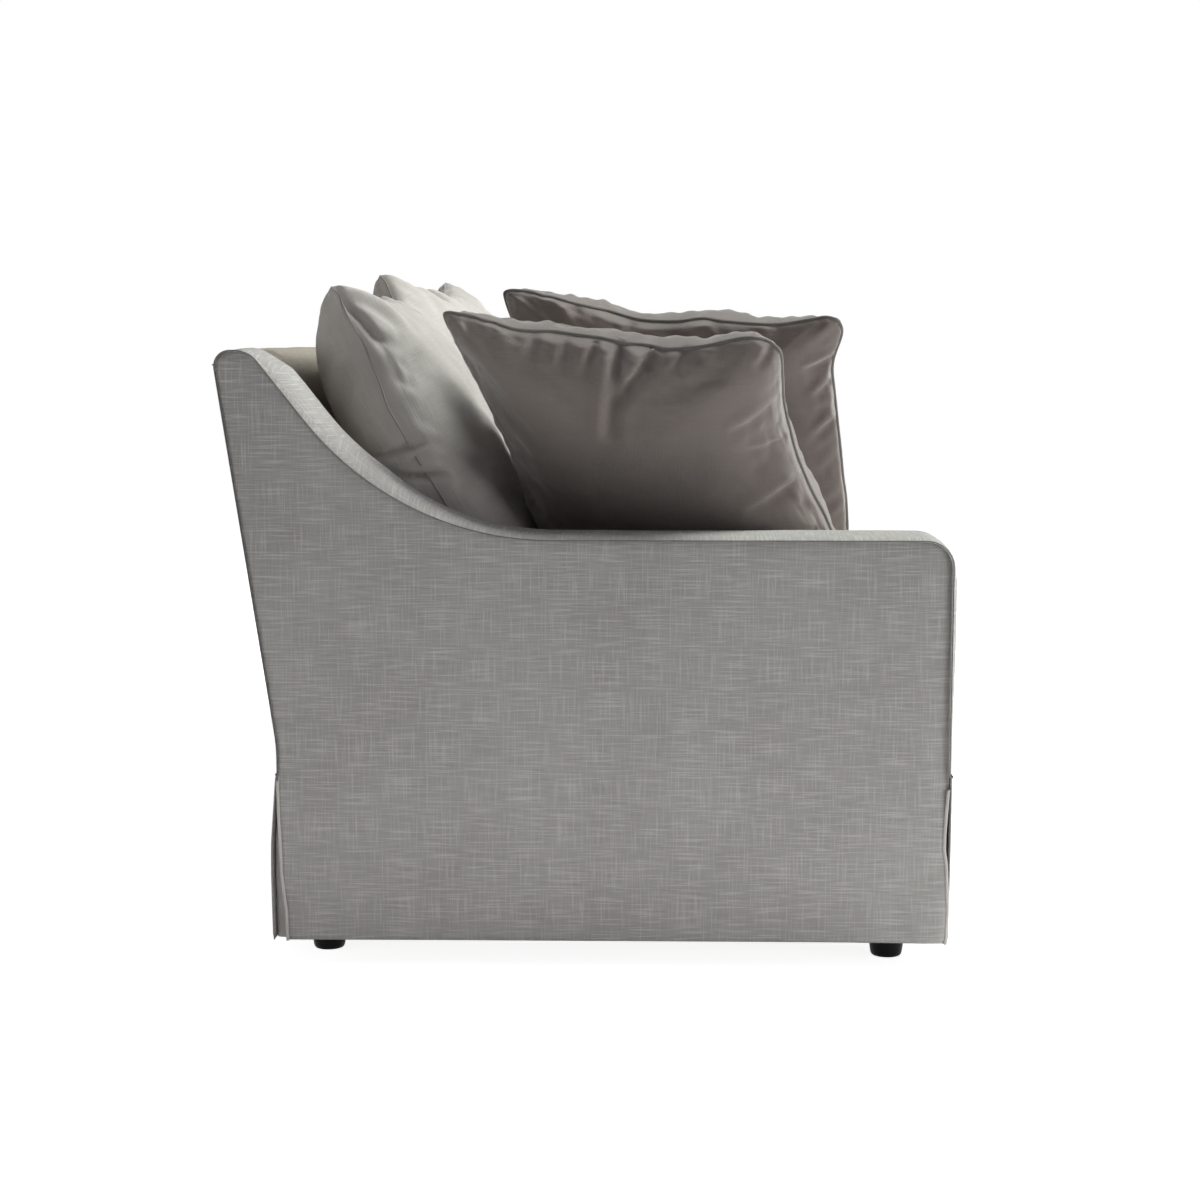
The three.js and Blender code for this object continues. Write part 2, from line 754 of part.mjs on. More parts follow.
// Two square pillows thrown against the left arm, one behind the other
function buildPillows() {
  const acrossToWorld = new THREE.Quaternion();
  acrossToWorld.setFromAxisAngle(new THREE.Vector3(1, 1, 1).normalize(), 2 * Math.PI / 3);
  for (const [name, pillow] of [['throw_pillow_near', nearPillow], ['throw_pillow_far', farPillow]]) {
    const geometry = knifeEdgeCushion({ width: pillowSize, drawIn: pillowDrawIn, ...pillow });
    const turned = new THREE.Group();
    const leaned = new THREE.Group();
    const centreZ = seatSurface + pillow.height * pillow.standShare;
    turned.position.set(pillow.fromArm - innerHalf, rearY - pillow.fromRear, centreZ);
    turned.rotation.z = -THREE.MathUtils.degToRad(pillowTurnDeg);
    leaned.rotation.y = -THREE.MathUtils.degToRad(pillow.leanDeg);
    const mesh = add(name, geometry, pillowCloth(), leaned);
    mesh.rotation.x = THREE.MathUtils.degToRad(pillow.rollDeg);
    mesh.quaternion.multiply(acrossToWorld);
    turned.add(leaned);
    sofa.add(turned);
  }
}

buildSeatFrame();
buildCornerBlocks();
buildArmFrames();
buildBackFrame();
buildFeet();
buildSprings();
buildPlatform();
buildArmCovers();
buildBackCovers();
buildPleats();
buildCushions();
buildPillows();

export default sofa;
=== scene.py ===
import math
import bpy
import numpy as np
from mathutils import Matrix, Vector, geometry


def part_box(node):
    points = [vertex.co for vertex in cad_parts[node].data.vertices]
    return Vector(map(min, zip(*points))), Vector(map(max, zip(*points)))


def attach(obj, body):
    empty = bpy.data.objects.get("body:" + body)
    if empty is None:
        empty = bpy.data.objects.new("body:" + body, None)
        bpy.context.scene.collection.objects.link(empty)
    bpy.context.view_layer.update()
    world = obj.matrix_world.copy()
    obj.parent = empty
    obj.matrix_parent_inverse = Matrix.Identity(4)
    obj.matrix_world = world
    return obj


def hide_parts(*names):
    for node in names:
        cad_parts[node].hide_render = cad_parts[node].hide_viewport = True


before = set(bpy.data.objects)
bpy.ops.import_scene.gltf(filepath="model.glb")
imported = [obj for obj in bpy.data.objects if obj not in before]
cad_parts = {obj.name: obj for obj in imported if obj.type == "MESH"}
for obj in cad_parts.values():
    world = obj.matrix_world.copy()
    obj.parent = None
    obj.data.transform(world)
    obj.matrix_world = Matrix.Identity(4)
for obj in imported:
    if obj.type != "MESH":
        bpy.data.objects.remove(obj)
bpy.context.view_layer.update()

scene = bpy.context.scene
scene.view_settings.view_transform = "Standard"


# CAMERA
# It stands square on to the left arm, level with the top of the back, about three metres from
# the outside panel, and looks a little down and one degree towards the back.
look_down, look_back = math.radians(6.927), math.radians(1.088)
looking = Vector((
    math.cos(look_down) * math.cos(look_back),
    math.cos(look_down) * math.sin(look_back),
    -math.sin(look_down),
))
camera = bpy.data.objects.new("camera", bpy.data.cameras.new("camera"))
camera.data.sensor_width = 36
camera.data.lens = 63.2
camera.data.clip_end = 60
camera.location = (-3.990, -0.076, 0.895)
camera.rotation_mode = "QUATERNION"
camera.rotation_quaternion = looking.to_track_quat("-Z", "Y")
scene.collection.objects.link(camera)
scene.camera = camera


# LIGHT, FLOOR AND BACKDROP
# A soft box hangs high before the sofa, a dimmer one before its right end; two stand low at the
# left corners and one lights the white floor there, so tops are bright and the arm in shade.
def soft_box(name, place, aim, width, height, watts, tint, beam=180):
    lamp = bpy.data.lights.new(name, "AREA")
    lamp.shape = "RECTANGLE"
    lamp.size, lamp.size_y, lamp.energy = width, height, watts
    lamp.color, lamp.spread = tint, math.radians(beam)
    holder = bpy.data.objects.new(name, lamp)
    holder.location = place
    holder.rotation_mode = "QUATERNION"
    holder.rotation_quaternion = (Vector(aim) - Vector(place)).to_track_quat("-Z", "Y")
    scene.collection.objects.link(holder)


soft_box("high_box", (0.2, -2.7, 4.8), (-0.7, -0.1, 0.6), 2.0, 2.0, 275, (0.97, 1, 0.97))
soft_box("front_box", (0.6, -4.0, 3.2), (-0.5, -0.1, 0.6), 2.4, 2.0, 75, (0.97, 1, 0.97))
soft_box("front_left_box", (-2.4, -4.6, 0.55), (-0.9, -0.2, 0.3), 2.0, 1.0, 74, (1, 0.98, 1))
soft_box("rear_left_box", (-1.9, 4.2, 1.0), (-1.0, 0.4, 0.5), 1.6, 1.6, 34, (1, 0.98, 1))
soft_box("floor_box", (-1.45, 0.0, 1.1), (-1.45, 0.001, 0.0), 0.3, 2.4, 3.0, (1, 0.98, 1), 45)


def fill_sockets(tree, node, sockets):
    """Gives each socket its value, or links it to the node or the output given for it."""
    for socket, value in sockets.items():
        if isinstance(value, bpy.types.Node):
            value = value.outputs[0]
        if isinstance(value, bpy.types.NodeSocket):
            tree.links.new(value, node.inputs[socket])
        else:
            node.inputs[socket].default_value = value


def add_node(tree, kind, sockets=None, **settings):
    node = tree.nodes.new("ShaderNode" + kind)
    for setting, value in settings.items():
        setattr(node, setting, value)
    fill_sockets(tree, node, sockets or {})
    return node


def seen_plainly(tree):
    """One for what is seen directly, in a gloss or through glass, and nought for other light."""
    rays = add_node(tree, "LightPath")
    shown = rays.outputs["Is Camera Ray"]
    for ray in ("Is Glossy Ray", "Is Transmission Ray"):
        shown = add_node(tree, "Math", {0: shown, 1: rays.outputs[ray]},
                         operation="MAXIMUM").outputs[0]
    return shown


world = bpy.data.worlds.new("studio")
world.use_nodes = True
scene.world = world
sky = world.node_tree
direction = add_node(sky, "TexCoord")
height = add_node(sky, "SeparateXYZ", {0: direction.outputs["Generated"]})
dome = add_node(sky, "ValToRGB", {0: height.outputs[2]})
dome.color_ramp.elements[0].color = (0.020, 0.020, 0.0205, 1)
dome.color_ramp.elements[1].color = (0.180, 0.176, 0.184, 1)
level = add_node(sky, "Mix", {0: seen_plainly(sky), 6: dome, 7: (1, 1, 1, 1)}, data_type="RGBA")
fill_sockets(sky, sky.nodes["Background"], {"Color": level.outputs[2]})

floor_half = 14.0
floor_mesh = bpy.data.meshes.new("floor")
floor_corners = [(x * floor_half, y * floor_half, 0) for x, y in ((-1, -1), (1, -1), (1, 1), (-1, 1))]
floor_mesh.from_pydata(floor_corners, [], [(0, 1, 2, 3)])
floor = bpy.data.objects.new("floor", floor_mesh)
scene.collection.objects.link(floor)
floor_paint = bpy.data.materials.new("floor_paint")
floor_paint.use_nodes = True
paint = floor_paint.node_tree
paint.nodes.remove(paint.nodes["Principled BSDF"])
matt = add_node(paint, "BsdfDiffuse", {"Color": (0.82, 0.82, 0.82, 1)})
glow = add_node(paint, "Emission", {"Color": (1, 1, 1, 1), "Strength": 0.90})
both = add_node(paint, "AddShader", {0: matt, 1: glow})
seen = add_node(paint, "MixShader", {0: seen_plainly(paint), 1: matt, 2: both})
fill_sockets(paint, paint.nodes["Material Output"], {"Surface": seen})
floor_mesh.materials.append(floor_paint)


# ARM CASINGS
# Each arm is a scooped timber frame under wadding and one casing of slub linen: an outside
# panel in one piece to the hem, a padded band over the top and down the front, and an inside
# panel. The three are sewn together over a thin welt, coloured dark as painted shade of the
# seam groove, and the hem and vents are turned.
def new_finish(name):
    finish = bpy.data.materials.new(name)
    finish.use_nodes = True
    return finish, finish.node_tree, finish.node_tree.nodes["Principled BSDF"]


def linen(name, cloth, slub, shade, slub_share=0.5, coarse=1.0, sheen=0.2):
    """Plain-weave slub linen: fine threads in the bump, thick pale threads and cloudy dye in the colour."""
    finish, tree, shader = new_finish(name)
    cloth, slub, shade = (*cloth, 1), (*slub, 1), (*shade, 1)
    grain = add_node(tree, "UVMap", uv_map="grain")

    def thread_noise(across, along, detail, low, high):
        scaled = add_node(tree, "Mapping", {0: grain, "Scale": (across, along, 1)})
        cloud = add_node(tree, "TexNoise", {"Vector": scaled, "Scale": 1, "Detail": detail},
                         noise_dimensions="2D")
        return add_node(tree, "MapRange", {"Value": cloud, "From Min": low, "From Max": high})

    def blend(amount, share, under, over):
        part = add_node(tree, "Math", {0: amount, 1: share}, operation="MULTIPLY")
        return add_node(tree, "Mix", {0: part, 6: under, 7: over}, data_type="RGBA").outputs[2]

    weft = thread_noise(17 / coarse, 430 / coarse, 1.5, 0.50, 0.74)
    warp = thread_noise(430 / coarse, 17 / coarse, 1.5, 0.52, 0.76)
    weft_dark = thread_noise(23 / coarse, 390 / coarse, 1.5, 0.54, 0.78)
    cloudy = thread_noise(5, 5, 3, 0.3, 0.7)
    patches = thread_noise(34, 48, 2, 0.35, 0.7)
    colour = blend(cloudy, 0.30, cloth, shade)
    colour = blend(patches, 0.16, colour, shade)
    colour = blend(weft_dark, slub_share * 0.8, colour, shade)
    colour = blend(warp, slub_share * 0.75, colour, slub)
    colour = blend(weft, slub_share, colour, slub)
    worn = add_node(tree, "MapRange", {"Value": patches, "To Min": 0.84, "To Max": 0.96})

    waves_a_metre = 2 * math.pi / (0.0016 * coarse)
    wave = add_node(tree, "Mapping", {0: grain, "Scale": (waves_a_metre, waves_a_metre, 1)})
    split = add_node(tree, "SeparateXYZ", {0: wave})
    ripples = [add_node(tree, "Math", {0: split.outputs[axis]}, operation="SINE") for axis in (0, 1)]
    woven = add_node(tree, "Math", {0: ripples[0], 1: ripples[1]}, operation="MULTIPLY")
    thick = add_node(tree, "Math", {0: weft, 1: warp}, operation="ADD")
    height = add_node(tree, "Math", {0: thick, 1: 1.4, 2: woven}, operation="MULTIPLY_ADD")
    bump = add_node(tree, "Bump", {"Height": height, "Strength": 0.32, "Distance": 0.0006})
    fill_sockets(tree, shader, {
        "Base Color": colour, "Roughness": worn, "Normal": bump,
        "Sheen Weight": sheen, "Sheen Roughness": 0.45, "Specular IOR Level": 0.08})
    return finish


body_linen = linen("body_linen", (0.42, 0.410, 0.394), (0.63, 0.62, 0.60), (0.305, 0.290, 0.276),
                   slub_share=0.56)
# Painted shade: the welt cloth is darker than the linen to stand in for the shadow in the seam groove.
welt_linen_painted_shade = linen("welt_linen_painted_shade", (0.20, 0.19, 0.18), (0.28, 0.27, 0.26), (0.14, 0.132, 0.125), coarse=0.7)
# Painted highlight: the pale cloth of the vent folds stands in for the light caught by each vent's rolled edge.
fold_linen_painted_highlight = linen("fold_linen_painted_highlight", (0.62, 0.60, 0.57), (0.74, 0.72, 0.69), (0.52, 0.50, 0.47), slub_share=0.3,
                   coarse=0.7)


def read_all(items, what, width=1):
    """Reads one property of all the items: numbers of points and faces, or rows of three lengths."""
    values = np.zeros(len(items) * width, int if width == 1 else float)
    items.foreach_get(what, values)
    return values if width == 1 else values.reshape(-1, width)


def lay_grain(mesh, turned=None):
    """Lays the cloth's grain over a mesh, in metres, face by face along its nearest main plane."""
    turned = np.eye(3) if turned is None else turned
    normals = read_all(mesh.polygons, "normal", 3) @ turned
    points = read_all(mesh.vertices, "co", 3) @ turned
    corner = read_all(mesh.loops, "vertex_index")
    sizes = read_all(mesh.polygons, "loop_total")
    facing = np.repeat(np.abs(normals).argmax(1), sizes)
    across = np.choose(facing, [1, 0, 0])
    along = np.choose(facing, [2, 2, 1])
    laid = np.stack([points[corner, across], points[corner, along]], 1)
    layer = mesh.uv_layers.new(name="grain")
    layer.data.foreach_set("uv", laid.astype(np.float32).ravel())


def make_piece(name, points, faces, finish, slot, body="base", stands_for=(), turned=None):
    """A smooth-shaded piece that rides on its body and wears the finish it is given; its slot is not used."""
    mesh = bpy.data.meshes.new(name)
    mesh.from_pydata(np.asarray(points).tolist(), [], faces)
    mesh.validate()
    mesh.shade_smooth()
    mesh.materials.append(finish)
    lay_grain(mesh, turned)
    piece = bpy.data.objects.new(name, mesh)
    scene.collection.objects.link(piece)
    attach(piece, body)
    if stands_for:
        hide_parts(*stands_for)
    return piece


def unit(v):
    return v / np.linalg.norm(v, axis=-1, keepdims=True)


def rounded_line(corners, step):
    """Even points along straight runs whose corners (y, z, radius) are rounded by arcs."""
    dense = []
    for i, (y, z, radius) in enumerate(corners):
        here = np.array((y, z))
        if not radius or i in (0, len(corners) - 1):
            dense.append(here)
            continue
        before = unit(np.array(corners[i - 1][:2]) - here)
        after = unit(np.array(corners[i + 1][:2]) - here)
        half = math.acos(float(np.clip(before @ after, -1, 1))) / 2
        centre = here + unit(before + after) * radius / math.sin(half)
        start = here + before * radius / math.tan(half) - centre
        turn = math.pi - 2 * half
        turn *= -np.sign(before[0] * after[1] - before[1] * after[0])
        for angle in np.linspace(0, turn, max(6, int(abs(turn) * 24))):
            c, s = math.cos(angle), math.sin(angle)
            dense.append(centre + (c * start[0] - s * start[1], s * start[0] + c * start[1]))
    return evenly(np.array(dense), step)


def evenly(line, step):
    """The same line with its points an even step apart."""
    along = np.concatenate([[0], np.cumsum(np.linalg.norm(np.diff(line, axis=0), axis=1))])
    at = np.linspace(0, along[-1], max(2, round(along[-1] / step) + 1))
    return np.stack([np.interp(at, along, line[:, k]) for k in range(line.shape[1])], 1)


def outward(line):
    """The outward direction at each point of an outline that runs up the front and down the rear."""
    way = unit(np.gradient(line, axis=0))
    return np.stack([-way[:, 1], way[:, 0]], 1)


def grid_faces(rows, columns, wrap=False):
    """Quads over rows of points; wrap joins the last column to the first."""
    faces = []
    for i in range(rows - 1):
        for j in range(columns if wrap else columns - 1):
            k = (j + 1) % columns
            faces.append((i * columns + j, i * columns + k, (i + 1) * columns + k, (i + 1) * columns + j))
    return faces


def tube(line, radius, sides=8, closed=False):
    """Points and faces of a round cord that follows a line, capped at open ends."""
    line = np.asarray(line, float)
    if closed:
        way = unit(np.roll(line, -1, 0) - np.roll(line, 1, 0))
    else:
        way = unit(np.gradient(line, axis=0))
    side = np.cross(way[0], (0.31, 0.17, 0.93))
    rings = []
    for p, w in zip(line, way):
        side = side - w * (side @ w)
        side = side / np.linalg.norm(side)
        other = np.cross(w, side)
        for k in range(sides):
            a = 2 * math.pi * k / sides
            rings.append(p + radius * (math.cos(a) * side + math.sin(a) * other))
    count = len(line)
    faces = grid_faces(count, sides, wrap=True)
    if closed:
        first, last = np.array(rings[:sides]), np.array(rings[-sides:])
        shift = int(np.linalg.norm(first - last[0], axis=1).argmin())
        base = (count - 1) * sides
        faces += [(base + j, base + (j + 1) % sides, (j + 1 + shift) % sides,
                   (j + shift) % sides) for j in range(sides)]
    else:
        faces.append(tuple(range(sides))[::-1])
        faces.append(tuple((count - 1) * sides + k for k in range(sides)))
    return np.array(rings), faces


def gathered(*parts):
    """Several sets of points and faces put together as one."""
    points, faces, start = [], [], 0
    for some, some_faces in parts:
        points.append(np.asarray(some, float))
        faces += [tuple(i + start for i in f) for f in some_faces]
        start += len(some)
    return np.concatenate(points), faces


def mirrored(points, faces):
    return points * (-1, 1, 1), [f[::-1] for f in faces]


def filled(rim, spacing, rings):
    """A flat piece of cloth inside a rim: its points, its triangles and each point's way from the rim."""
    centre_out = outward(np.concatenate([rim, rim[:1]]))[:-1]
    inner = [rim - centre_out * d for d in rings]
    low, high = rim.min(0), rim.max(0)
    columns = np.arange(low[0], high[0], spacing)
    rows = np.arange(low[1], high[1], spacing * 0.87)
    inside = [(y + (i % 2) * spacing / 2, z) for i, z in enumerate(rows) for y in columns]
    loose = np.concatenate(inner + [np.array(inside)])
    ends = np.roll(rim, -1, 0)
    span = ends - rim
    from_rim = np.full(len(loose), np.inf)
    crossings = np.zeros(len(loose), int)
    for a, b, d in zip(rim, ends, span):
        share = np.clip(((loose - a) @ d) / max(d @ d, 1e-12), 0, 1)
        from_rim = np.minimum(from_rim, np.linalg.norm(loose - a - share[:, None] * d, axis=1))
        above = (a[1] > loose[:, 1]) != (b[1] > loose[:, 1])
        slant = a[0] + (loose[:, 1] - a[1]) * d[0] / (d[1] if abs(d[1]) > 1e-12 else 1e-12)
        crossings += above & (loose[:, 0] < slant)
    count = len(rim)
    target = [np.full(count, d) for d in rings] + [np.full(len(inside), rings[-1] + spacing * 0.6)]
    kept = (crossings % 2 == 1) & (from_rim > np.concatenate(target) * 0.93)
    points = np.concatenate([rim, loose[kept]])
    away = np.concatenate([np.zeros(count), from_rim[kept]])
    found = geometry.delaunay_2d_cdt([Vector(p) for p in points], [], [list(range(count))], 1, 1e-7)
    keep = np.array([source[0] for source in found[3]])
    return points[keep], [tuple(f) for f in found[2]], away[keep]


half_length, arm_inner = 1.040, 0.870
front_y, arm_top, back_top = -0.522, 0.620, 0.886
waist, hem = 0.2833, 0.040
knee_y, knee_z, rake = 0.44352, 0.326, math.tan(math.radians(8.3))
knee_reach = 0.019


def rear_face(z):
    """How far back the raked outside back stands at a height."""
    t = np.asarray(z, float) - knee_z
    bend = (t + knee_reach) ** 2 / (4 * knee_reach)
    return knee_y + rake * np.where(t > knee_reach, t, np.where(t > -knee_reach, bend, 0))


def scoop(front_in, top_in, rear_in):
    """Corners of the arm's top line, from its front to its crest and over to the raked rear."""
    return [
        (front_y + front_in, arm_top - top_in, 0.038),
        (0.26321 + top_in * 0.5, arm_top - top_in, 0.441),
        (0.47201 + top_in * 0.5, back_top - top_in, 0.040),
        (float(rear_face(back_top)) - rear_in, back_top - top_in, 0.022),
    ]


seam_in, rear_seam_in, back_seam = 0.0045, 0.0016, 0.866
down_the_rear = [(knee_y - rear_seam_in, knee_z, 0.26), (knee_y - rear_seam_in, waist, 0)]
rear_vent = [
    (0.2760, 0.4430), (0.2237, 0.4424), (0.1959, 0.4412), (0.1409, 0.4398),
    (0.1137, 0.4372), (0.0818, 0.4334), (hem, 0.4322)]
front_vent = [
    (0.0386, -0.5168), (0.0926, -0.5188), (0.1550, -0.5163), (0.1769, -0.5130),
    (0.2020, -0.5133), (0.2424, -0.5158), (0.2647, -0.5172)]
panel_corners = [(y, z, 0) for z, y in front_vent] + [(front_y + seam_in, waist, 0)]
panel_corners += scoop(seam_in, 0.0, rear_seam_in) + down_the_rear + [(y, z, 0) for z, y in rear_vent]
panel_rim = rounded_line(panel_corners, 0.007)
hem_line = evenly(np.array([panel_rim[-1], (0.2, hem + 0.0004), (-0.35, hem), panel_rim[0]]), 0.012)[1:-1]
panel_rim = np.concatenate([panel_rim, hem_line])


def slack(a, b, size):
    """Small uneven waves of padded cloth."""
    return size * (
        np.sin(8.3 * a + 3.1 * b + 0.4) + 0.7 * np.sin(15.1 * b - 6.2 * a + 2.1)
        + 0.5 * np.sin(27.0 * a + 11.0 * b + 1.3) + 0.3 * np.sin(41.0 * b + 19.0 * a))


flat_panel, panel_faces, from_rim = filled(panel_rim, 0.020, (0.002, 0.0045, 0.009, 0.016, 0.028))
y, z = flat_panel.T
roll = np.clip(1 - from_rim / 0.011, 0, 1) ** 2 * 0.0030
front_roll = np.clip(1 - (y - front_y - seam_in) / 0.048, 0, 1) ** 2 * 0.0065 * np.clip((z - 0.20) / 0.08, 0, 1)
turned_edge = np.where(z < waist - 0.01, np.clip(1 - from_rim / 0.0045, 0, 1) ** 2 * 0.0035, 0)
hem_curl = 0.004 * np.exp(-((y + 0.49) / 0.03) ** 2 - ((z - 0.07) / 0.04) ** 2)
plump = 0.0022 * np.clip(from_rim / 0.12, 0, 1) + slack(y, z, 0.0006) * np.clip(from_rim / 0.05, 0, 1)
panel_x = -half_length + 0.0012 + roll + front_roll + turned_edge - plump - hem_curl
outside_panel = (np.stack([panel_x, y, z], 1), [f[::-1] for f in panel_faces])

rim_out = outward(np.concatenate([panel_rim, panel_rim[:1]]))[:-1]
turn_rows = []
for depth, inset in ((0.0065, 0.0), (0.0085, 0.0012), (0.0090, 0.004), (0.0090, 0.030)):
    edge = panel_rim - rim_out * inset
    turn_rows.append(np.column_stack([np.full(len(edge), -half_length + depth), edge]))
turning = (np.concatenate(turn_rows), [f[::-1] for f in grid_faces(4, len(panel_rim), wrap=True)])

band_start = [(front_y + seam_in, waist, 0)]
band_end = [(float(rear_face(back_seam)) - rear_seam_in, back_seam, 0)]
band_line = rounded_line(band_start + scoop(seam_in, 0.0, rear_seam_in) + band_end, 0.007)
past = np.flatnonzero((band_line[:, 0] > 0.5) & (band_line[:, 1] < back_seam))[0]
above, below = band_line[past - 1], band_line[past]
cut = above + (below - above) * (above[1] - back_seam) / (above[1] - below[1])
band_line = np.vstack([band_line[:past], cut])
band_out = outward(band_line)
slope_share = np.clip((band_line[:, 1] - arm_top - 0.01) / 0.07, 0, 1) * (band_line[:, 0] < 0.49)
slope_share *= np.clip((0.878 - band_line[:, 1]) / 0.03, 0, 1)
front_share = np.clip((arm_top - 0.012 - band_line[:, 1]) / 0.05, 0, 1) * (band_line[:, 0] < -0.4)
upper_front = np.clip((band_line[:, 1] - 0.36) / 0.12, 0, 1) * front_share
crown = 0.0060 + 0.0140 * slope_share + 0.0030 * front_share + 0.0032 * upper_front
at_rear = np.clip((band_line[:, 0] - 0.475) / 0.03, 0, 1)
crown = crown * (1 - 0.75 * at_rear)
roll_size = 0.015 * (1 - 0.5 * at_rear)
across_band = np.concatenate([(1 - np.cos(np.linspace(0, 0.72 * math.pi, 22))) / 2, np.linspace(0.88, 1, 6)])
roll_turns = np.linspace(0, math.pi / 2, 8)[1:]
flat_width = half_length - arm_inner - 0.0032
band_rows = []
for t in np.concatenate([across_band, 1 + roll_turns]):
    turn = max(t - 1, 0)
    t = min(t, 1)
    x = -half_length + 0.0032 + t * (flat_width - roll_size) + roll_size * math.sin(turn)
    swell = (1 - abs(2 * t - 1) ** 4.5) * crown - 0.0012 * (1 - t) - 0.0016 * t ** 6
    swell = swell - roll_size * (1 - math.cos(turn))
    swell = swell + slack(band_line[:, 0] * 1.7 + band_line[:, 1], t * 0.4, 0.00045) * (1 - abs(2 * t - 1) ** 2)
    edge = band_line + band_out * swell[:, None]
    band_rows.append(np.column_stack([np.broadcast_to(x, len(edge)), edge]))
band = (np.concatenate(band_rows), grid_faces(len(band_rows), len(band_line)))

inside_rim = evenly(band_rows[-1][:, 1:], 0.008)
inside_rim = inside_rim[(inside_rim[:, 1] > 0.268)]
closing = np.array([inside_rim[-1], (inside_rim[-1][0] - 0.06, 0.60), (0.428, 0.268),
                    (inside_rim[0][0], 0.268), inside_rim[0]])
inside_rim = np.concatenate([inside_rim, evenly(closing, 0.016)[1:-1]])
flat_inside, inside_faces, _ = filled(inside_rim, 0.024, (0.003, 0.008, 0.018))
inside_panel = (np.column_stack([np.full(len(flat_inside), -arm_inner), flat_inside]), inside_faces)

welt_radius = 0.0010
outer_line = rounded_line(
    band_start + scoop(seam_in - 0.0002, -0.0002, rear_seam_in) + down_the_rear, 0.006)
outer_welt = tube(np.column_stack([np.full(len(outer_line), -half_length + 0.0020), outer_line]), welt_radius)
# The pale cords along the vents are a painted highlight of their rolled edges.
vent_folds = []
for vent, way in ((rear_vent, -1), (front_vent, 1)):
    fold_line = evenly(np.array([(y + way * 0.0012, z) for z, y in vent]), 0.006)
    fold_line = np.column_stack([np.full(len(fold_line), -half_length + 0.0030), fold_line])
    vent_folds.append(tube(fold_line, 0.0024))

casing, folds = gathered(outside_panel, turning, band, inside_panel), gathered(*vent_folds)
for side in ("left", "right"):
    make_piece(f"arm_casing_{side}", *casing, body_linen, "body_linen", stands_for=[f"arm_cover_{side}"])
    make_piece(f"arm_welt_{side}", *outer_welt, welt_linen_painted_shade, "body_linen")
    make_piece(f"vent_folds_{side}", *folds, fold_linen_painted_highlight, "body_linen")
    casing, outer_welt, folds = mirrored(*casing), mirrored(*outer_welt), mirrored(*folds)


# INSIDE BACK AND TOP BAND
# One width of the same linen is pulled over a wadded top rail and stapled below the seat. It
# runs between the arms, rolls over the level top and meets the outside back at its welt. Its
# copy of the linen is tinted warmer, as painted bounce light in the shade of the cushions.
inner_rake = math.tan(math.radians(22))
top_front = 0.456
back_end = arm_inner - 0.0006
back_line = rounded_line([
    (float(rear_face(back_seam)) - 0.0030, back_seam, 0),
    (float(rear_face(back_top)) - 0.0030, back_top, 0.017),
    (top_front, back_top, 0.030),
    (top_front - (back_top - 0.300) * inner_rake, 0.300, 0),
], 0.008)
back_out = -outward(back_line)
stations = np.linspace(-back_end, back_end, 121)
back_rows = []
for x in stations:
    from_end = np.clip((back_end - abs(x)) / 0.03, 0, 1)
    swell = 0.0022 * from_end + slack(x * 0.8, back_line[:, 1] * 1.6, 0.0009) * from_end
    edge = back_line + back_out * np.broadcast_to(swell, len(back_line))[:, None]
    back_rows.append(np.column_stack([np.full(len(edge), x), edge]))
last = (len(stations) - 1) * len(back_line)
ends = [tuple(range(len(back_line)))[::-1], tuple(last + j for j in range(len(back_line)))]
inside_back = (np.concatenate(back_rows), grid_faces(len(stations), len(back_line)) + ends)
# Painted light: this copy of the body linen is warmer to stand in for the warm bounce light behind the back
# cushions.
inner_linen_painted_bounce = linen("inner_linen_painted_bounce", (0.45, 0.408, 0.348), (0.60, 0.56, 0.50), (0.36, 0.318, 0.265),
                    slub_share=0.3)
make_piece("inside_back", *inside_back, inner_linen_painted_bounce, "body_linen", stands_for=["back_cover"])


# OUTSIDE BACK
# A flat panel of linen over the open back frame, tacked under the top welt and blind-stitched
# down both raked edges, straight down from the knee to the waist.
panel_half = half_length - 0.0010
heights = np.linspace(waist, back_seam, 64)
stations = np.concatenate([[-panel_half], np.linspace(-panel_half + 0.004, panel_half - 0.004, 101),
                           [panel_half]])
rows = []
for x in stations:
    from_side = np.clip(1 - (panel_half - abs(x)) / 0.010, 0, 1) ** 2 * 0.0035
    from_top = np.clip(1 - (back_seam - heights) / 0.012, 0, 1) ** 2 * 0.0030
    give = slack(x * 0.7, heights * 1.3, 0.0008) * np.clip((panel_half - abs(x)) / 0.06, 0, 1)
    rows.append(np.column_stack([np.full(len(heights), x), rear_face(heights) - from_side - from_top + give * 0.7,
                                 heights]))
outside_back = (np.concatenate(rows), [f[::-1] for f in grid_faces(len(stations), len(heights))])
make_piece("outside_back", *outside_back, body_linen, "body_linen", stands_for=["outside_back_panel"])


def straight_welt(y, z, short, radius):
    """A welt straight along the sofa, that stops short of the panel's two ends."""
    return tube(np.array([(x, y, z) for x in np.linspace(short - panel_half, panel_half - short, 60)]), radius)


top_welt = straight_welt(float(rear_face(back_seam)) - 0.0006, back_seam + 0.0002, 0, welt_radius)
rear_waist = straight_welt(knee_y + 0.0004, waist, 0.002, 0.0015)
front_waist = straight_welt(front_y + 0.0004, waist, 0.003, 0.0017)
make_piece("back_and_waist_welts", *gathered(top_welt, rear_waist, front_waist), welt_linen_painted_shade, "body_linen")


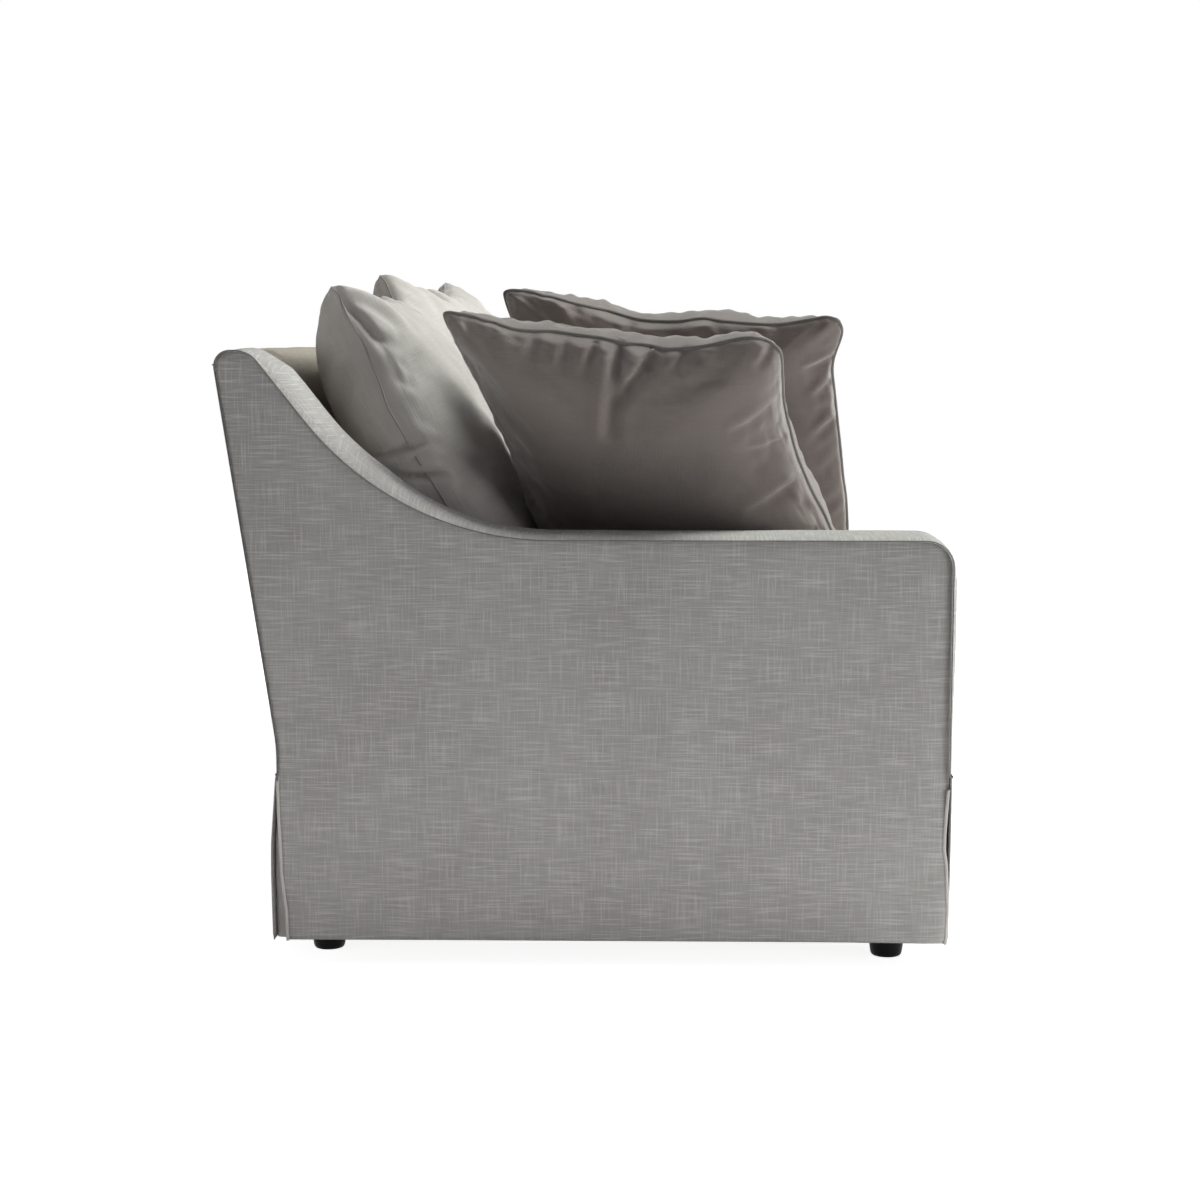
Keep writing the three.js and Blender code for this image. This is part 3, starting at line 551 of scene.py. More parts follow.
# FRONT EDGE
# The sprung front edge of the seat platform: a rolled pad of felt under linen, level with the
# deck, that the seat cushions overhang by a finger's width.
edge_half = arm_inner + 0.0092
edge_line = rounded_line([(-0.5208, waist + 0.0008, 0), (-0.5172, waist + 0.0030, 0.002),
                          (-0.5195, 0.302, 0.012), (-0.505, 0.3165, 0.016), (-0.4445, 0.3178, 0),
                          (-0.4442, 0.2606, 0)], 0.005)
stations = np.linspace(-edge_half, edge_half, 73)
rows = [np.column_stack([np.full(len(edge_line), x), edge_line]) + (0, float(slack(x * 2, 0.3, 0.0004)),
                                                                    0) for x in stations]
front_edge = make_piece("front_edge", np.concatenate(rows),
                        [f[::-1] for f in grid_faces(len(stations), len(edge_line))],
                        body_linen, "body_linen", stands_for=["front_border"])


# SKIRTS
# Front and rear skirts are straight lined panels sewn into the waist seam. Each hangs free to
# a turned hem and ends in a folded edge at the corner, over a kick-pleat underlay.
def skirt(name, fall, half, node):
    """A double panel that hangs along a fall of (height, depth) points."""
    fall = np.array(fall)
    drops, loop = 30, 60
    levels = np.linspace(fall[0, 0], fall[-1, 0], drops)
    depth = np.interp(levels[::-1], fall[::-1, 0], fall[::-1, 1])[::-1]
    outer = np.sign(fall[0, 1])
    columns = np.concatenate([[-half, -half + 0.0015], np.linspace(-half + 0.006, half - 0.006, 141),
                              [half - 0.0015, half]])
    lower = (fall[0, 0] - levels) / (fall[0, 0] - fall[-1, 0])
    points = []
    for x in columns:
        wave = 0.0016 * np.sin(9.1 * x + 0.6) + 0.0010 * np.sin(17.3 * x + 2.0) + 0.0007 * np.sin(31 * x)
        wave = wave * lower ** 1.5 * np.clip((half - abs(x)) / 0.05, 0, 1)
        fold = 0.0016 if half - abs(x) > 0.001 else 0.0004
        shut = np.minimum(fold, np.abs(levels - fall[-1, 0]) + 0.0003)
        front = np.column_stack([np.full(drops, x), depth + wave + outer * (shut - 0.0016), levels])
        rear = np.column_stack([np.full(drops, x), depth + wave - outer * (shut + 0.0016), levels])
        points.append(np.concatenate([front, rear[::-1]]))
    faces = grid_faces(len(columns), loop, wrap=True)
    last = (len(columns) - 1) * loop
    faces += [(i, i + 1, loop - 2 - i, loop - 1 - i) for i in range(drops - 1)]
    faces += [(last + loop - 1 - i, last + loop - 2 - i, last + i + 1, last + i) for i in range(drops - 1)]
    if outer < 0:
        faces = [f[::-1] for f in faces]
    piece = make_piece(name, np.concatenate(points), faces, body_linen, "body_linen", stands_for=[node])


skirt_half = half_length - 0.0035
rear_fall = [
    (waist, 0.4445), (0.2793, 0.4457), (0.2106, 0.4512), (0.183, 0.4533), (0.14, 0.4541), (0.092, 0.4536),
             (hem, 0.4528)]
front_fall = [(waist, -0.5218), (0.22, -0.5219), (0.14, -0.5214), (0.08, -0.5206), (hem, -0.5198)]
skirt("rear_skirt_panel", rear_fall, skirt_half, "rear_skirt")
skirt("front_skirt_panel", front_fall, skirt_half, "front_skirt")


def two_layers(rows, columns):
    """Faces of two grids of points, one behind the other, closed round their edges."""
    count = rows * columns
    front = grid_faces(rows, columns)
    rear = [tuple(i + count for i in f[::-1]) for f in front]
    ring = list(range(columns)) + [i * columns + columns - 1 for i in range(1, rows)]
    ring += [(rows - 1) * columns + j for j in range(columns - 2, -1, -1)]
    ring += [i * columns for i in range(rows - 2, 0, -1)]
    return front + rear + [(b, a, a + count, b + count) for a, b in zip(ring, ring[1:] + ring[:1])]


# The underlay of each kick pleat is an angle of the pale lining cloth, sewn behind the waist
# and left loose, so that no gap shows where two skirt edges meet at a corner. The cloth is made
# paler still as painted fill light in the shaded pleat recess.
# Partly painted fill: the lining's pale colour also lightens the shaded recess of each pleat.
lining_and_painted_fill = linen("lining_and_painted_fill", (0.66, 0.64, 0.61), (0.74, 0.72, 0.69), (0.58, 0.555, 0.525), slub_share=0.2,
               coarse=0.6)
corner_x, leg, underlay_top = 1.0265, 0.066, 0.2735
levels = np.linspace(hem + 0.0015, underlay_top, 24)[:, None]
loose = (underlay_top - levels) / (underlay_top - hem)
rear_line = np.interp(levels, *np.array(rear_fall[::-1]).T)
for end, outer_y, inward in (("front", -0.5170, 1), ("rear", 0.4476, -1)):
    path = rounded_line([
        (corner_x - leg, outer_y, 0), (corner_x, outer_y, 0.006), (corner_x, outer_y + inward * leg, 0)], 0.003)
    sway = 0.0022 * np.sin(5 * np.linspace(0, 1, len(path)) * math.pi) * loose
    draw = outer_y - (rear_line - 0.0042) if end == "rear" else 0.002 * (1 - loose)
    for side, sign in (("left", -1), ("right", 1)):
        layers = []
        for thick in (0.0, 0.0016):
            x = sign * (path[:, 0] - thick - sway)
            y = path[:, 1] + inward * (thick + draw)
            layers.append(np.stack(np.broadcast_arrays(x, y, levels), 2).reshape(-1, 3))
        faces = two_layers(len(levels), len(path))
        if sign * inward < 0:
            faces = [f[::-1] for f in faces]
        underlay = make_piece(f"pleat_underlay_{end}_{side}", np.concatenate(layers), faces, lining_and_painted_fill,
                              "body_linen",
                              stands_for=[f"corner_pleat_{end}_{side}"])


# DECK AND DUST COVER
# The springs are covered with a stitched pad of ticking, which the cushions hide. Under the
# rails black cambric is stapled all round, and sags a little between them.
ticking = linen("ticking", (0.48, 0.45, 0.40), (0.60, 0.57, 0.52), (0.40, 0.37, 0.32), coarse=0.8)
low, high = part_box("seat_deck")
across = np.linspace(low.x, high.x, 97)
deep = np.linspace(low.y, high.y, 41)
gx, gy = np.meshgrid(across, deep, indexing="ij")
rim = np.minimum.reduce([gx - low.x, high.x - gx, gy - low.y, high.y - gy])
quilt = 0.0016 * np.abs(np.sin(gx * math.pi / 0.145)) * np.abs(np.sin((gy - low.y) * math.pi / 0.165)) ** 0.7
top_z = high.z - 0.0018 + quilt - 0.010 * np.clip(1 - rim / 0.012, 0, 1) ** 2
top = np.stack([gx, gy, top_z], 2).reshape(-1, 3)
under = np.stack([gx, gy, np.full_like(gx, low.z)], 2).reshape(-1, 3)
faces = [f[::-1] for f in two_layers(len(across), len(deep))]
deck = make_piece("deck_pad", np.concatenate([top, under]), faces, ticking, "deck_cloth",
                  stands_for=["seat_deck"])

cambric = linen("cambric", (0.016, 0.016, 0.017), (0.030, 0.030, 0.031), (0.010, 0.010, 0.010), coarse=0.6,
                sheen=0.05)
low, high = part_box("dust_cover")
across = np.linspace(low.x, high.x, 81)
deep = np.linspace(low.y, high.y, 41)
gx, gy = np.meshgrid(across, deep, indexing="ij")
inside = np.clip(np.minimum(high.x - abs(gx), np.minimum(gy - low.y, high.y - gy)) / 0.25, 0, 1)
sag = 0.0065 * inside ** 0.8 + slack(gx * 2, gy * 3, 0.0004) * inside
upper = np.stack([gx, gy, high.z - sag], 2).reshape(-1, 3)
lower = upper - (0, 0, 0.0006)
faces = [f[::-1] for f in grid_faces(len(across), len(deep))]
count = len(upper)
faces += [tuple(i + count for i in f[::-1]) for f in faces]
dust = make_piece("dust_cloth", np.concatenate([upper, lower]), faces, cambric, "dust_cloth",
                  stands_for=["dust_cover"])


# FEET
# Four short tapered turned feet, ebonised and satin lacquered, screwed up into the side rails.
def grained(name, scale, detail, dark, pale, rough, relief, gloss, span=(0, 1), distortion=0):
    """A finish whose colour, roughness and relief all follow one grain, stretched along the piece."""
    finish, tree, shader = new_finish(name)
    place = add_node(tree, "TexCoord")
    drawn = add_node(tree, "Mapping", {0: place.outputs["Object"], "Scale": scale})
    figure = add_node(tree, "TexNoise", {
        "Vector": drawn, "Scale": 1, "Detail": detail, "Distortion": distortion})
    ramp = add_node(tree, "ValToRGB", {0: figure})
    for stop, position, colour in zip(ramp.color_ramp.elements, span, (dark, pale)):
        stop.position, stop.color = position, (*colour, 1)
    worn = add_node(tree, "MapRange", {"Value": figure, "To Min": rough[0], "To Max": rough[1]})
    bump = add_node(tree, "Bump", {"Height": figure, "Strength": relief[0], "Distance": relief[1]})
    fill_sockets(tree, shader, {"Base Color": ramp, "Roughness": worn, "Normal": bump,
                                "Specular IOR Level": gloss})
    return finish


lacquer = grained("black_lacquer", (260, 260, 22), 3, (0.005, 0.005, 0.006), (0.011, 0.011, 0.011),
                  rough=(0.30, 0.48), relief=(0.12, 0.0004), gloss=0.07)

foot_profile = [(0.0, 0.0), (0.0185, 0.0), (0.0212, 0.0006), (0.0226, 0.0026), (0.0234, 0.0058),
                (0.0243, 0.012), (0.0254, 0.022),
                (0.0264, 0.034), (0.0269, 0.046), (0.0270, 0.060), (0.0268, 0.0722), (0.0250, 0.0748),
                (0.0, 0.0750)]
around = 48
round_foot = np.linspace(0, 2 * math.pi, around, endpoint=False)
for end in ("front", "rear"):
    for side in ("left", "right"):
        low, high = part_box(f"foot_{end}_{side}")
        cx, cy = (low.x + high.x) / 2, (low.y + high.y) / 2 + (0.003 if end == "rear" else 0)
        rows = [[(cx + r * math.cos(a), cy + r * math.sin(a), z) for a in round_foot] for r,
                z in foot_profile[1:-1]]
        points = np.concatenate([np.array(rows).reshape(-1, 3), [(cx, cy, 0), (cx, cy, 0.075)]])
        count = len(rows)
        faces = grid_faces(count, around, wrap=True)
        last = (count - 1) * around
        faces += [(count * around, (j + 1) % around, j) for j in range(around)]
        faces += [(count * around + 1, last + j, last + (j + 1) % around) for j in range(around)]
        make_piece(f"turned_foot_{end}_{side}", points, faces, lacquer, "foot",
                   stands_for=[f"foot_{end}_{side}"])


# TIMBER AND SPRINGS
# The hidden frame keeps its own solids: kiln-dried hardwood rails, posts and glued blocks,
# shaped plywood, and cold-drawn steel wire springs with a thin oiled film.
def timber(name, pale, dark, ply=False):
    scale = (14, 14, 320) if ply else (5, 60, 60)
    return grained(name, scale, 5, dark, pale, rough=(0.55, 0.75), relief=(0.25, 0.0005), gloss=0.35,
                   span=(0.32, 0.66), distortion=0.4)


hardwood = timber("hardwood", (0.52, 0.33, 0.17), (0.36, 0.20, 0.09))
plywood = timber("plywood", (0.60, 0.43, 0.25), (0.44, 0.28, 0.14), ply=True)
spring_wire = timber("spring_wire", (0.40, 0.41, 0.42), (0.26, 0.26, 0.27))
spring_wire.node_tree.nodes["Principled BSDF"].inputs["Metallic"].default_value = 0.9
for name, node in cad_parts.items():
    if name.startswith("seat_spring"):
        finish = spring_wire
    elif name.startswith(("arm_top_board", "back_post", "back_upright")):
        finish = plywood
    elif "rail" in name or "post" in name or "block" in name or "stretcher" in name:
        finish = hardwood
    else:
        continue
    for holder in node.material_slots:
        holder.material = finish


# SEAT CUSHIONS
# Three loose boxed cushions: foam wrapped in fibre, in the same linen with a self welt round
# both faces. They rest flat on the deck, crown a little and bulge between the corners.
cushion_linen = linen("cushion_linen", (0.53, 0.508, 0.480), (0.64, 0.622, 0.597), (0.45, 0.424, 0.395),
                      slub_share=0.3, coarse=0.8)
cushion_welt = linen("cushion_welt", (0.40, 0.382, 0.36), (0.50, 0.48, 0.46), (0.32, 0.30, 0.28),
                     slub_share=0.2, coarse=0.6)


def seat_cushion(low, high, seed):
    """A boxed cushion: rows of points round its border, and an even grid over each of its faces."""
    centre = np.array(((low.x + high.x) / 2, (low.y + high.y) / 2))
    half = np.array(((high.x - low.x) / 2, (high.y - low.y) / 2)) - 0.0005
    side, face_share = 44, 0.955
    seam_inset, middle_in, corner_in = 0.0085, 0.006, 0.045
    along = np.linspace(-1, 1, side, endpoint=False)
    loop = np.concatenate([
        np.column_stack([along, np.full(side, -1)]), np.column_stack([np.full(side, 1), along]),
        np.column_stack([-along, np.full(side, 1)]), np.column_stack([np.full(side, -1), -along])])
    u, v = loop.T
    corner = np.abs(u * v) ** 9
    draw = 1 - corner_in * corner
    z0, z1 = low.z, high.z - 0.012
    thick = z1 - z0
    rows = []
    profile = [(face_share, 0.0, 0), (0.985, 0.0, 0)]
    profile += [(1.0, h, 1) for h in (0.0, 0.03, 0.08, 0.18, 0.32, 0.5, 0.68, 0.82, 0.92, 0.97, 1.0)]
    profile += [(0.985, 1.0, 2), (face_share, 1.0, 2)]

    def crowned(nx, ny):
        swell = (1 - np.abs(nx) ** 3.4) * (1 - np.abs(ny) ** 3.4)
        rise = 0.0125 * swell ** 0.8 - 0.002 * (np.maximum(np.abs(nx), np.abs(ny)) > 0.97)
        rise = rise + slack(nx * 1.9 + seed, ny * 2.3 - seed, 0.0008) * swell
        dip = np.exp(-((np.hypot(np.abs(nx) - 1, np.abs(ny) - 1) - 0.22) / 0.07) ** 2)
        return rise - 0.0016 * dip * swell ** 0.5

    for share, level, zone in profile:
        inset = seam_inset if zone != 1 else seam_inset - seam_inset * (1 - abs(2 * level - 1) ** 3.2)
        bow = middle_in * (1 - (u * v) ** 2)
        pull = bow if zone != 1 else bow * abs(2 * level - 1) ** 2
        x = u * draw * (half[0] * share - inset - pull)
        y = v * draw * (half[1] * share - inset - pull)
        z = np.full(len(u), z0 + thick * level)
        if zone == 2:
            z = z + crowned(u * share, v * share)
        if zone == 1:
            ripple = 0.0012 * np.sin(9 * (u + v) + seed) * math.sin(math.pi * level)
            x, y = x + ripple * np.abs(u) ** 6 * np.sign(u), y + ripple * np.abs(v) ** 6 * np.sign(v)
        rows.append(np.column_stack([centre[0] + x, centre[1] + y, z]))
    count = len(loop)
    points = np.concatenate(rows)
    faces = grid_faces(len(rows), count, wrap=True)
    last = (len(rows) - 1) * count
    steps = np.linspace(-1, 1, side + 1)
    edge_index = {}
    for k in range(side):
        edge_index[k, 0], edge_index[side, k] = k, side + k
        edge_index[side - k, side], edge_index[0, side - k] = 2 * side + k, 3 * side + k
    for first, height, crown in ((0, z0, False), (last, z0 + thick, True)):
        patch = {}
        extra = []
        for i in range(side + 1):
            for j in range(side + 1):
                if (i, j) in edge_index:
                    patch[i, j] = first + edge_index[i, j]
                    continue
                nx, ny = steps[i] * face_share, steps[j] * face_share
                reach = max(abs(nx), abs(ny), 1e-6)
                near_corner = (abs(nx * ny) / reach ** 2) ** 9 * (reach / face_share) ** 6
                bow = middle_in * (1 - (nx * ny / reach ** 2) ** 2) * (reach / face_share) ** 3
                taken = (seam_inset + bow) * reach / face_share
                x = nx / reach * (1 - corner_in * near_corner) * (half[0] * reach - taken)
                y = ny / reach * (1 - corner_in * near_corner) * (half[1] * reach - taken)
                patch[i, j] = len(points) + len(extra)
                extra.append((centre[0] + x, centre[1] + y, height + (float(crowned(nx, ny)) if crown else 0)))
        points = np.concatenate([points, extra])
        for i in range(side):
            for j in range(side):
                face = (patch[i, j], patch[i + 1, j], patch[i + 1, j + 1], patch[i, j + 1])
                faces.append(face if crown else face[::-1])
    lower_seam, upper_seam = rows[2], rows[12]
    return (points, faces), lower_seam, upper_seam


for index, name in enumerate(("left", "middle", "right")):
    low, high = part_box(f"seat_cushion_{name}")
    body = f"seat_{name}"
    shape, lower_seam, upper_seam = seat_cushion(low, high, 1.7 * index)
    cushion = make_piece(f"seat_pad_{name}", *shape, cushion_linen, "cushion_linen", body,
                         [f"seat_cushion_{name}"])
    lift = (0, 0, 0.0022)
    piping = gathered(tube(lower_seam + lift, 0.0021, closed=True),
                      tube(upper_seam - (0, 0, 0.0006), 0.0023, closed=True))
    make_piece(f"seat_piping_{name}", *piping, cushion_welt, "cushion_linen", body)


# BACK CUSHIONS
# Three loose cushions of fibre in two panels of linen sewn edge to edge, stood on the seat and
# leaned on the back. The filling pulls the seams into folds and leaves an ear at each corner.
cells = 64
panel_line = np.sin(np.linspace(-1, 1, cells + 1) * math.pi / 2 * 0.86) / math.sin(math.pi / 2 * 0.86)


def sewn_cover(name, size, puff, frames, press, seed):
    """Two square panels sewn at their edges and filled by Cloth: where each point lies on its
    panel, how far the filling moved it, how far out it stands, the faces and the seam."""
    gu, gv = np.meshgrid(panel_line, panel_line, indexing="ij")
    count = (cells + 1) ** 2
    domed = puff * np.clip((1 - gu ** 2) * (1 - gv ** 2), 0, 1) ** 0.45
    top = np.stack([gu * size / 2, gv * size / 2, domed], 2).reshape(-1, 3)
    on_rim = (np.maximum(np.abs(gu), np.abs(gv)) > 1 - 1e-9).reshape(-1)
    shift = np.zeros(count, int)
    shift[~on_rim] = np.arange((~on_rim).sum())
    under_index = np.where(on_rim, np.arange(count), count + shift)
    faces = [f[::-1] for f in grid_faces(cells + 1, cells + 1)]
    under_faces = [tuple(int(under_index[i]) for i in f[::-1]) for f in faces]
    points = np.concatenate([top, (top * (1, 1, -1))[~on_rim]])
    own = points[:, :2] / (size / 2)
    points = points + np.random.default_rng(seed).normal(0, 0.0004, points.shape)
    mesh = bpy.data.meshes.new(name)
    mesh.from_pydata(points.tolist(), [], faces + under_faces)
    cover = bpy.data.objects.new(name, mesh)
    scene.collection.objects.link(cover)
    cloth = cover.modifiers.new("fill", "CLOTH")
    cloth.settings.quality = 6
    cloth.settings.mass = 0.25
    cloth.settings.tension_stiffness = 30
    cloth.settings.compression_stiffness = 30
    cloth.settings.shear_stiffness = 12
    cloth.settings.bending_stiffness = 0.35
    cloth.settings.air_damping = 2
    cloth.settings.use_pressure = True
    cloth.settings.uniform_pressure_force = press
    cloth.settings.effector_weights.gravity = 0
    cloth.collision_settings.use_collision = False
    cloth.collision_settings.use_self_collision = False
    cloth.point_cache.frame_start, cloth.point_cache.frame_end = 1, frames
    for step in range(1, frames + 1):
        scene.frame_set(step)
    settled = cover.evaluated_get(bpy.context.evaluated_depsgraph_get()).to_mesh()
    points = read_all(settled.vertices, "co", 3)
    scene.frame_set(1)
    bpy.data.objects.remove(cover)
    corners = [0, cells, cells * (cells + 1), count - 1]
    span = np.abs(points[corners][:, :2]).mean(0)
    moved = points[:, :2] / span - own
    out = points[:, 2] / np.percentile(np.abs(points[:, 2]), 98)
    rim = np.concatenate([
        np.arange(0, cells) * (cells + 1), cells * (cells + 1) + np.arange(0, cells),
        np.arange(cells, 0, -1) * (cells + 1) + cells, np.arange(cells, 0, -1)])
    return own, moved, out, faces + under_faces, rim


def spread(edges, u, v):
    """Carries what is given along a panel's bottom, top, left and right edges over all of it."""
    def read(edge, at):
        return np.stack([np.interp(at, edge[0], column) for column in np.asarray(edge[1]).T], 1)
    s, t = (u[:, None] + 1) / 2, (v[:, None] + 1) / 2
    low, high, left, right = read(edges[0], u), read(edges[1], u), read(edges[2], v), read(edges[3], v)
    ends = np.array((-1.0, 1.0))
    low_ends, high_ends = read(edges[0], ends), read(edges[1], ends)
    corners = (1 - s) * (1 - t) * low_ends[0] + s * (1 - t) * low_ends[1]
    corners = corners + (1 - s) * t * high_ends[0] + s * t * high_ends[1]
    return (1 - t) * low + t * high + (1 - s) * left + s * right - corners


def seam_edge(points):
    """One edge of a cushion's outline as a smooth line, with its length run from -1 to 1."""
    line = evenly(np.array(points, float), 0.004)
    for _ in range(8):
        line[1:-1] = (line[:-2] + 2 * line[1:-1] + line[2:]) / 4
    along = np.concatenate([[0], np.cumsum(np.linalg.norm(np.diff(line, axis=0), axis=1))])
    return along / along[-1] * 2 - 1, line


def filled_cover(cover, outline, front, rear, firm_front, firm_rear, loose, slip, gather=0.06):
    """Lays a filled cover inside a measured outline, and keeps the folds the filling made."""
    own, moved, out, faces, rim = cover
    grid = np.arange((cells + 1) ** 2).reshape(cells + 1, cells + 1)
    edges = (grid[:, 0], grid[:, -1], grid[0], grid[-1])
    edge_moved = spread([(panel_line, moved[edge]) for edge in edges], *own.T)
    uv = np.clip(own + slip * (moved - edge_moved), -1, 1)
    half = np.ptp(outline[1][1], axis=0).max() / 2
    flat = spread(outline, *uv.T) + loose * half * edge_moved
    stand = np.where(out > 0, front * np.abs(out) ** firm_front, -rear * np.abs(out) ** firm_rear)
    from_edge, along = 1 - np.abs(own).max(1), own.sum(1)
    puckers = np.exp(-((from_edge - 0.05) / 0.05) ** 2) * (np.sin(52 * along + 1) + 0.6 * np.sin(31 * along + 2.2))
    ear = np.where(out > 0, 0.9 * np.abs(own[:, 0] * own[:, 1]) ** 3, 0) if gather > 0.1 else 0
    return np.column_stack([flat, stand * (1 + gather * puckers) * (1 - ear)])


def finer(points, faces):
    """The same cover with each of its faces divided smoothly in four; its own points stay first."""
    mesh = bpy.data.meshes.new("finer")
    mesh.from_pydata(points.tolist(), [], faces)
    holder = bpy.data.objects.new("finer", mesh)
    scene.collection.objects.link(holder)
    holder.modifiers.new("smooth", "SUBSURF").levels = 1
    smoothed = holder.evaluated_get(bpy.context.evaluated_depsgraph_get()).to_mesh()
    found = read_all(smoothed.vertices, "co", 3)
    corners = read_all(smoothed.loops, "vertex_index")
    fine_faces = [tuple(f) for f in corners.reshape(-1, 4).tolist()]
    bpy.data.objects.remove(holder)
    return found, fine_faces


def fold(laid, start, end, width, depth, run, lead):
    """Height of a soft fold beside a line on a cushion: a furrow on one side, a ridge on the other."""
    start, way = np.array(start), np.array(end) - np.array(start)
    length = np.linalg.norm(way)
    from_start = laid - start
    along = from_start @ way / length ** 2
    aside = (way[0] * from_start[:, 1] - way[1] * from_start[:, 0]) / length / width
    fade = np.sin(np.clip(along * run + lead, 0, 1) * math.pi) ** 0.7
    return depth * fade * np.exp(-aside ** 2) * (0.35 - 1.5 * aside)


def crease(points, start, end, width, depth, facing):
    """A fold on one face of a cushion, along a line of (across, rise)."""
    lift = fold(points[:, :2], start, end, width, depth, 0.8, 0.2)
    points[:, 2] -= np.where(points[:, 2] * facing > 0, lift * facing, 0)


def tuck(points, start, end, width, depth):
    """A fold drawn into a cushion's left side, along a line of (rise, how far out)."""
    lift = fold(points[:, 1:], start, end, width, depth, 0.7, 0.25)
    points[:, 0] += np.where(points[:, 0] < -0.15, lift, 0)


def flipped(cover):
    """The same cover with its folds the other way round, so that no two neighbours are twins."""
    own, moved, out, faces, rim = cover
    return own, moved * (-1, 1), out, faces, rim


def eased(seam, rounds):
    """A closed seam line with its small zigzags drawn straight."""
    for _ in range(rounds):
        seam = (seam * 2 + np.roll(seam, 1, 0) + np.roll(seam, -1, 0)) / 4
    return seam


cover = sewn_cover("cushion_cover", 0.60, 0.07, 24, 5.0, 5)
seat_top = 0.4638
crown_fall = [(0.280, 0.0), (0.268, 0.006), (0.240, 0.017), (0.19, 0.024)]
side_run = [(0.272, 0.0), (0.280, 0.10), (0.279, 0.30), (0.275, 0.47)]
ear_fall = [(0.274, 0.05), (0.276, 0.02), (0.280, 0.0)]
back_cushions = [
    ("left", 0.5850, 0.5800, 3, 27.6, 0.126),
    ("middle", 0.6160, 0.6000, 11, 26.0, 0.116),
    ("right", 0.5990, 0.6290, 19, 25.0, 0.116),
]
for index, (name, left_ear, right_ear, seed, lean_deg, rear) in enumerate(back_cushions):
    low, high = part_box(f"back_cushion_{name}")
    body = f"back_{name}"
    lean = math.radians(lean_deg)
    up, fore = (0, math.sin(lean), math.cos(lean)), (0, -math.cos(lean), math.sin(lean))
    turned = np.column_stack([(1.0, 0, 0), up, fore])
    foot = np.array(((low.x + high.x) / 2, 0.106, seat_top))
    crown_line = [(-x, left_ear - drop) for x, drop in crown_fall] + [(0, (left_ear + right_ear) / 2 - 0.029)]
    crown_line += [(x, right_ear - drop) for x, drop in crown_fall[::-1]]
    outline = [seam_edge([(-0.272, 0.0), (0.0, 0.0), (0.272, 0.0)]), seam_edge(crown_line)]
    for way, ear in ((-1, left_ear), (1, right_ear)):
        side_line = [(way * x, z) for x, z in side_run] + [(way * x, ear - drop) for x, drop in ear_fall]
        outline.append(seam_edge(side_line))
    own_cover = cover if index % 2 == 0 else flipped(cover)
    local = filled_cover(own_cover, outline, 0.100, rear, 0.62, 0.62, 0.04, 0.5)
    share = np.clip(local[:, 1] / left_ear, 0, 1)
    to_side = np.abs(local[:, 0] / 0.28) ** 3
    uneven = slack(local[:, 0] * 4 + seed, local[:, 1] * 4 - seed, 0.0022) * np.sign(local[:, 2])
    local[:, 2] += uneven * (1 - to_side).clip(0) * (1 - (2 * share - 1) ** 4)
    local[:, 2] *= 1.05 - 0.10 * share
    local[:, 2] -= 0.013 * np.sin(share * math.pi) * to_side
    local, fine_faces = finer(local, cover[3])
    if name == "left":
        tuck(local, (0.330, -0.066), (0.314, 0.008), 0.0058, 0.0130)
        tuck(local, (0.268, 0.008), (0.299, -0.052), 0.0055, 0.0115)
        tuck(local, (0.556, 0.000), (0.462, 0.016), 0.009, 0.0080)
        crease(local, (-0.262, 0.560), (-0.225, 0.480), 0.013, 0.0085, 1)
    crease(local, (-0.205, left_ear - 0.03), (-0.185, left_ear - 0.12), 0.016, 0.0042, 1)
    crease(local, (0.225, right_ear - 0.025), (0.190, right_ear - 0.11), 0.015, 0.0065, 1)
    points = foot + local @ turned.T
    points[:, 2] = np.maximum(points[:, 2], seat_top + 0.0006 * np.sin(points[:, 0] * 40))
    cushion = make_piece(f"back_pillow_{name}", points, fine_faces, cushion_linen, "cushion_linen", body,
                         [f"back_cushion_{name}"], turned)
    seam = tube(eased(points[cover[4]], 1), 0.0014, 6, closed=True)
    make_piece(f"back_seam_{name}", *seam, cushion_welt, "cushion_linen", body)


# THROW PILLOWS
# Two square feather pillows in a darker twill, thrown against the left arm; the twill is coloured
# darker still as painted shade on the faces turned down to the arm. A self piping cord is sewn
# into the edge all round, and the cover puckers beside it.
# Painted shade: the pillow linen's dark colour partly stands in for the shade on the pillows' down-turned faces.
pillow_linen = linen("pillow_linen", (0.250, 0.216, 0.199), (0.33, 0.295, 0.273), (0.205, 0.174, 0.158),
                     slub_share=0.18, coarse=0.6, sheen=0.8)
piping_linen = linen("piping_linen", (0.205, 0.194, 0.184), (0.27, 0.255, 0.243), (0.165, 0.152, 0.143),
                     slub_share=0.14, coarse=0.5, sheen=0.3)
cover = sewn_cover("pillow_cover", 0.52, 0.05, 24, 5.0, 8)


def turn_about(axis, degrees):
    a = math.radians(degrees)
    c, s = math.cos(a), math.sin(a)
    i, j = [k for k in range(3) if k != axis]
    matrix = np.eye(3)
    matrix[i, i] = matrix[j, j] = c
    matrix[i, j], matrix[j, i] = (-s, s) if axis != 1 else (s, -s)
    return matrix


